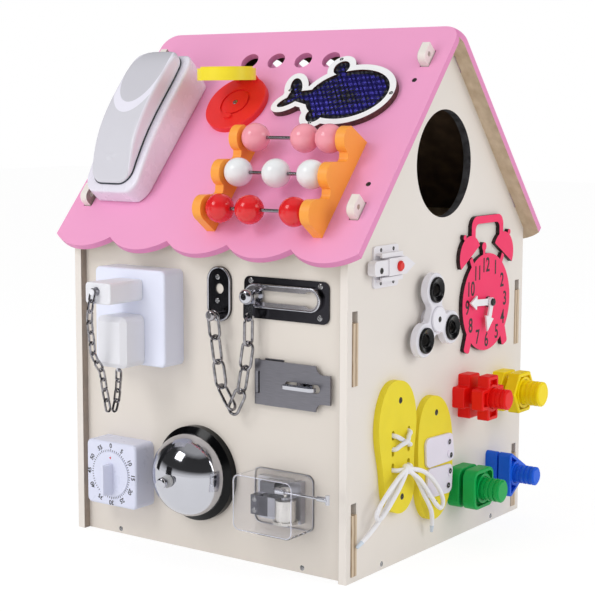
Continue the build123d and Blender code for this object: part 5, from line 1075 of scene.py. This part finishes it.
# %% Sequin finishes
sequin_blue = surface("sequin_blue", paint(38, 33, 116), 0.26, cloud=5, drift=0.3, bump=0.03,
                      Metallic=0.7)
sequin_black = surface("sequin_black", paint(18, 17, 30), 0.30, cloud=5, drift=0.2, bump=0.03,
                       Metallic=0.4)
finish_piece("sequins_blue", blue_discs, ON_ROOF, sequin_blue, slot="sequins", smooth=False,
             outward=False)
finish_piece("sequins_black", black_discs, ON_ROOF, sequin_black, slot="sequins", smooth=False,
             outward=False)

# %% [markdown]
# # Inside the music box
# The drum carries rows of fine pins that pluck the comb, the comb is held by two screws, and the
# crank turns the drum through a worm. The pins are thin three-sided prisms: there are hundreds, and
# nobody sees their sides. The worm's thread is a small profile spun with a step along its axis.

# %% Drum pins
PIN_ROWS, PINS_ROUND, DRUM_R, ROW_STEP, DRUM_AT = 18, 24, 8.5, 0.88, (96.4, 50.8, 18.0)
pins = new_shape()
for ring in range(PIN_ROWS):
    for step in range(PINS_ROUND):
        if (ring * 7 + step * 5 + ring * step) % 4:
            continue
        turn = math.radians(step * 360 / PINS_ROUND + ring * 6)
        pin = bmesh.ops.create_cone(pins, segments=3, radius1=0.28, radius2=0.2, depth=1.4)["verts"]
        bmesh.ops.rotate(pins, cent=(0, 0, 0), verts=pin,
                         matrix=Matrix.Rotation(math.radians(90), 3, "Y"))
        bmesh.ops.translate(pins, vec=(DRUM_R, 0, 0), verts=pin)
        bmesh.ops.rotate(pins, cent=(0, 0, 0), verts=pin, matrix=Matrix.Rotation(turn, 3, "Z"))
        bmesh.ops.translate(pins, vec=(0, 0, ring * ROW_STEP), verts=pin)
upright = ON_FRONT @ Matrix.Translation(DRUM_AT) @ Matrix.Rotation(math.radians(-90), 4, "X")
finish_piece("drum_pins", pins, upright, drum_brass, body="drum", slot="movement_metal",
             smooth=False)

# %% Screws of the movement
add_screws("comb_screws", ON_FRONT, [(65.3, 53.4, 20.2), (65.3, 62.8, 20.2)], screw_steel,
           slot="movement_metal", radius=2.3)
add_screws("case_screws", ON_FRONT, [(63.5, 47.0, 7.0), (100.5, 46.5, 7.0)], screw_steel,
           slot="movement_metal", radius=1.6)

# %% Worm thread
WORM_TURNS, WORM_STEPS, WORM_LONG = 4, 88, 7.744
worm = new_shape()
start = [worm.verts.new(point) for point in ((0, 2.25, 0), (0.35, 2.95, 0), (0.7, 2.25, 0))]
ribs = [worm.edges.new(pair) for pair in zip(start, start[1:])]
bmesh.ops.spin(worm, geom=start + ribs, cent=(0, 0, 0), axis=(1, 0, 0),
               dvec=(WORM_LONG / WORM_STEPS, 0, 0), angle=WORM_TURNS * 2 * math.pi,
               steps=WORM_STEPS)
along_crank = ON_FRONT @ Matrix.Translation((92.4, 75.0, 25.0))
finish_piece("worm_thread", worm, along_crank, chrome, body="crank", slot="chrome", outward=False)

# %% [markdown]
# # Rims and seams
# A thin round wire bent along an edge does a lot for little work. On clear plastic it shows the
# pale edge where light gathers, on chrome plate it is the rolled bead, and in the joint below the
# handset it is a dark line of painted shadow, for the shade in the seam. The wire is a ring of
# eight points carried along a closed row of places.

# %% Closed wires
def rounded(centre, width, height, corner, steps=8):
    """Places along a rounded rectangle."""
    row = []
    for quarter, (side, up) in enumerate(((1, 1), (-1, 1), (-1, -1), (1, -1))):
        x = centre[0] + side * (width / 2 - corner)
        y = centre[1] + up * (height / 2 - corner)
        for step in range(steps + 1):
            turn = math.pi / 2 * (quarter + step / steps)
            row.append((x + corner * math.cos(turn), y + corner * math.sin(turn)))
    return row


def wire(name, row, radius, board, finish, **ties):
    """Round wire through a closed row of (x, y, height) places."""
    shape, rings = new_shape(), []
    for before, place, after in zip(row[-1:] + row, row, row[1:] + row[:1]):
        along = (Vector(after) - Vector(before)).normalized()
        side = along.cross(Vector((0, 0, 1))).normalized()
        up = side.cross(along)
        rings.append([shape.verts.new(Vector(place) + radius * (
            side * math.cos(part * math.pi / 4) + up * math.sin(part * math.pi / 4)))
            for part in range(8)])
    for ring, follow in zip(rings, rings[1:] + rings[:1]):
        for part in range(8):
            shape.faces.new((ring[part], ring[part - 7], follow[part - 7], follow[part]))
    return finish_piece(name, shape, board, finish, **ties)


print("closed wires ready")

# %% Edges of the clear case
CASE_MIDDLE, CASE_WIDE, CASE_HIGH, CASE_CORNER = (82.15, 61.25), 62.3, 49.5, 7.0
case_edge = surface("case_edge", paint(238, 238, 250), 0.22, drift=0.02, bump=0.01)
for name, inset, high in (("case_edge_front", 1.3, 31.8), ("case_edge_foot", 0.9, 0.9)):
    edge = rounded(CASE_MIDDLE, CASE_WIDE - 2 * inset, CASE_HIGH - 2 * inset, CASE_CORNER - inset)
    wire(name, [(x, y, high) for x, y in edge], 0.4, ON_FRONT, case_edge, slot="clear")

# %% Beads of the door chain plates
TRACK_SLOT, TRACK_WIDE = 57.6, 18.8
beads = (("track_bead", (83.0, 234.0), TRACK_SLOT + TRACK_WIDE, TRACK_WIDE, 5.3, 0.9),
         ("anchor_bead", (14.2, 232.0), 23.2, 46.2, 2.5, 0.8))
for name, centre, width, height, high, radius in beads:
    edge = rounded(centre, width, height, min(width, height) / 2)
    wire(name, [(x, y, high) for x, y in edge], radius, ON_FRONT, chrome, slot="chrome")

# %% [markdown]
# The seam of the telephone holds a dark wire of painted shadow, for the shade in the gap between
# handset and base. It runs round the base and dips with it. Its height is read from a short list of
# (distance down the roof, height off it), with straight lines between them. The long sides are
# first cut into stretches of about 8 mm, so that the wire can follow the dips.

# %% Painted shadow in the seam of the telephone
SEAM_R, SEAM_INSET, SEAM_RISE, STRETCH = 0.75, 0.7, 0.7, 8
SEAM = ((61.0, 35.7), (91.0, 33.4), (129.0, 32.6), (154.0, 30.4), (178.0, 26.0), (208.5, 18.5))


def seam_height(down):
    """Height of the seam above the roof at a distance down the slope."""
    for (near, high), (far, low) in zip(SEAM, SEAM[1:]):
        if near <= down <= far:
            return high + (low - high) * (down - near) / (far - near)


border = rounded((-110.5, -131.75), 47.0 - 2 * SEAM_INSET, 140.5 - 2 * SEAM_INSET, 13.3, steps=10)
seam = []
for (x, y), (next_x, next_y) in zip(border, border[1:] + border[:1]):
    parts = max(1, round(math.hypot(next_x - x, next_y - y) / STRETCH))
    for share in [part / parts for part in range(parts)]:
        down = -(y + (next_y - y) * share)
        seam.append((x + (next_x - x) * share, -down, seam_height(down) + SEAM_RISE))
# A dark wire of painted shadow in the gap below the handset.
seam_shadow_paint = surface("seam_shadow_paint", paint(40, 46, 58), 0.5, drift=0.1, bump=0.02)
wire("phone_seam_shadow", seam, SEAM_R, ON_ROOF, seam_shadow_paint, slot="phone_grey")

# %% [markdown]
# # Weights of the spinner
# Each arm holds a glossy black cap with a rolled rim and an open middle. Eight points of its
# profile are spun round the middle of the arm.

# %% Spinner caps
cap_black = surface("cap_black", paint(7, 7, 9), 0.10, drift=0.05, bump=0.01,
                    Specular_IOR_Level=0.25)
caps = new_shape()
for y, z in ARMS:
    cap = spun([(5.7, 12.4), (5.9, 13.3), (7.4, 13.6), (9.4, 14.5), (10.4, 14.9), (11.1, 14.6),
                (11.3, 13.9), (11.3, 12.6)], steps=40)
    bmesh.ops.translate(cap, vec=(y, z, 0), verts=cap.verts)
    add_part(caps, cap)
finish_piece("spinner_weights", caps, ON_GABLE, cap_black, body="spinner", slot="spinner_white")

# %% [markdown]
# # Floor, light and surroundings
# The toy stands on a plain pale floor under soft light from all round. Three soft lamps give it
# form: one up on the left, a second on the right that fills the shadows, and a low one in front
# that mirrors don't see. The sky is white for the camera, and dimmer as a light, so that colours
# come out about as they were mixed. Mirrors see a third sky, with a dark band above the horizon,
# and two dark cards outside the view: without something dark to reflect, chrome looks like chalk.
# The view transform is Standard, which shows a colour as it was mixed.

# %% Floor
GLOW, GLOW_SHARE = 1.12, 0.76
ground = new_shape()
bmesh.ops.create_grid(ground, x_segments=1, y_segments=1, size=6)
ground_mesh = bpy.data.meshes.new("floor")
ground.to_mesh(ground_mesh)
ground.free()
floor_finish = bpy.data.materials.new("pale_floor")
floor_finish.use_nodes = True
tree = floor_finish.node_tree
shader = tree.nodes["Principled BSDF"]
shader.inputs["Base Color"].default_value = (0.86, 0.86, 0.86, 1)
shader.inputs["Roughness"].default_value = 0.9
glow = add_node(tree, "Emission")
glow.inputs["Strength"].default_value = GLOW
rays = add_node(tree, "LightPath")
seen = maths(tree, "MAXIMUM", rays.outputs["Is Camera Ray"],
             maths(tree, "MAXIMUM", rays.outputs["Is Glossy Ray"],
                   rays.outputs["Is Transmission Ray"]))
blend = add_node(tree, "MixShader")
tree.links.new(maths(tree, "MULTIPLY", seen, GLOW_SHARE), blend.inputs[0])
tree.links.new(shader.outputs[0], blend.inputs[1])
tree.links.new(glow.outputs[0], blend.inputs[2])
tree.links.new(blend.outputs[0], tree.nodes["Material Output"].inputs["Surface"])
ground_mesh.materials.append(floor_finish)
floor = bpy.data.objects.new("floor", ground_mesh)
bpy.context.scene.collection.objects.link(floor)
print("floor ready")

# %% Sky
SKY_LIGHT, SKY_SEEN = 0.68, 1.0
MIRROR_BAND = ((0.52, 0.85), (0.56, 0.45), (0.61, 0.05), (0.86, 0.04), (0.94, 0.45))
sky = bpy.data.worlds.new("sky")
bpy.context.scene.world = sky
sky.use_nodes = True
tree = sky.node_tree
back = tree.nodes["Background"]
back.inputs["Color"].default_value = (1, 1, 1, 1)
rays = add_node(tree, "LightPath")
seen = maths(tree, "MAXIMUM", rays.outputs["Is Camera Ray"], rays.outputs["Is Transmission Ray"])
level = add_node(tree, "MapRange")
level.inputs["To Min"].default_value = SKY_LIGHT
level.inputs["To Max"].default_value = SKY_SEEN
tree.links.new(seen, level.inputs["Value"])
way = add_node(tree, "TexCoord")
split = add_node(tree, "SeparateXYZ")
tree.links.new(way.outputs["Generated"], split.inputs[0])
climb = maths(tree, "ADD", maths(tree, "MULTIPLY", split.outputs[2], 0.5), 0.5)
band = add_node(tree, "ValToRGB")
stops = band.color_ramp.elements
for stop, (at, bright) in zip(stops, (MIRROR_BAND[0], MIRROR_BAND[-1])):
    stop.position, stop.color = at, (bright, bright, bright, 1)
for at, bright in MIRROR_BAND[1:-1]:
    stops.new(at).color = (bright, bright, bright, 1)
tree.links.new(climb, band.inputs[0])
mirrored = rays.outputs["Is Glossy Ray"]
plain = maths(tree, "MULTIPLY", level.outputs[0], maths(tree, "SUBTRACT", 1, mirrored))
mirror = maths(tree, "MULTIPLY", band.outputs[0], mirrored)
tree.links.new(maths(tree, "ADD", plain, mirror), back.inputs["Strength"])
print("sky ready")

# %% Lamps and dark cards
def soft_lamp(name, place, target, size, power):
    """Square lamp that faces a point."""
    light = bpy.data.lights.new(name, "AREA")
    light.shape, light.size, light.energy = "SQUARE", size, power
    lamp = bpy.data.objects.new(name, light)
    lamp.location = place
    lamp.rotation_euler = (Vector(target) - Vector(place)).to_track_quat("-Z", "Y").to_euler()
    bpy.context.scene.collection.objects.link(lamp)
    return lamp


soft_lamp("key", (-0.55, -1.35, 1.25), (0, 0, 0.2), 0.6, 6)
soft_lamp("fill", (1.7, 0.3, 0.9), (0, 0, 0.2), 0.9, 7)
low_front = soft_lamp("low_front", (-0.5, -1.9, 0.2), (0, 0, 0.15), 1.2, 9)
low_front.visible_glossy = False

card_finish = surface("dark_card", paint(30, 30, 32), 0.9)
for name, place, size in (("card_low", (-0.72, -1.05, 0.16), (0.34, 0.30)),
                          ("card_side", (-1.1, -0.4, 0.35), (0.30, 0.7))):
    sheet = new_shape()
    bmesh.ops.create_grid(sheet, x_segments=1, y_segments=1, size=0.5)
    bmesh.ops.scale(sheet, vec=(*size, 1), verts=sheet.verts)
    mesh = bpy.data.meshes.new(name)
    sheet.to_mesh(mesh)
    sheet.free()
    mesh.materials.append(card_finish)
    card = bpy.data.objects.new(name, mesh)
    card.location = place
    facing = Vector((-0.01, -0.15, 0.08)) - Vector(place)
    card.rotation_euler = facing.to_track_quat("Z", "Y").to_euler()
    card.visible_camera = card.visible_diffuse = card.visible_shadow = False
    card.visible_transmission = False
    bpy.context.scene.collection.objects.link(card)

bpy.context.scene.view_settings.view_transform = "Standard"
print("lamps and cards ready")
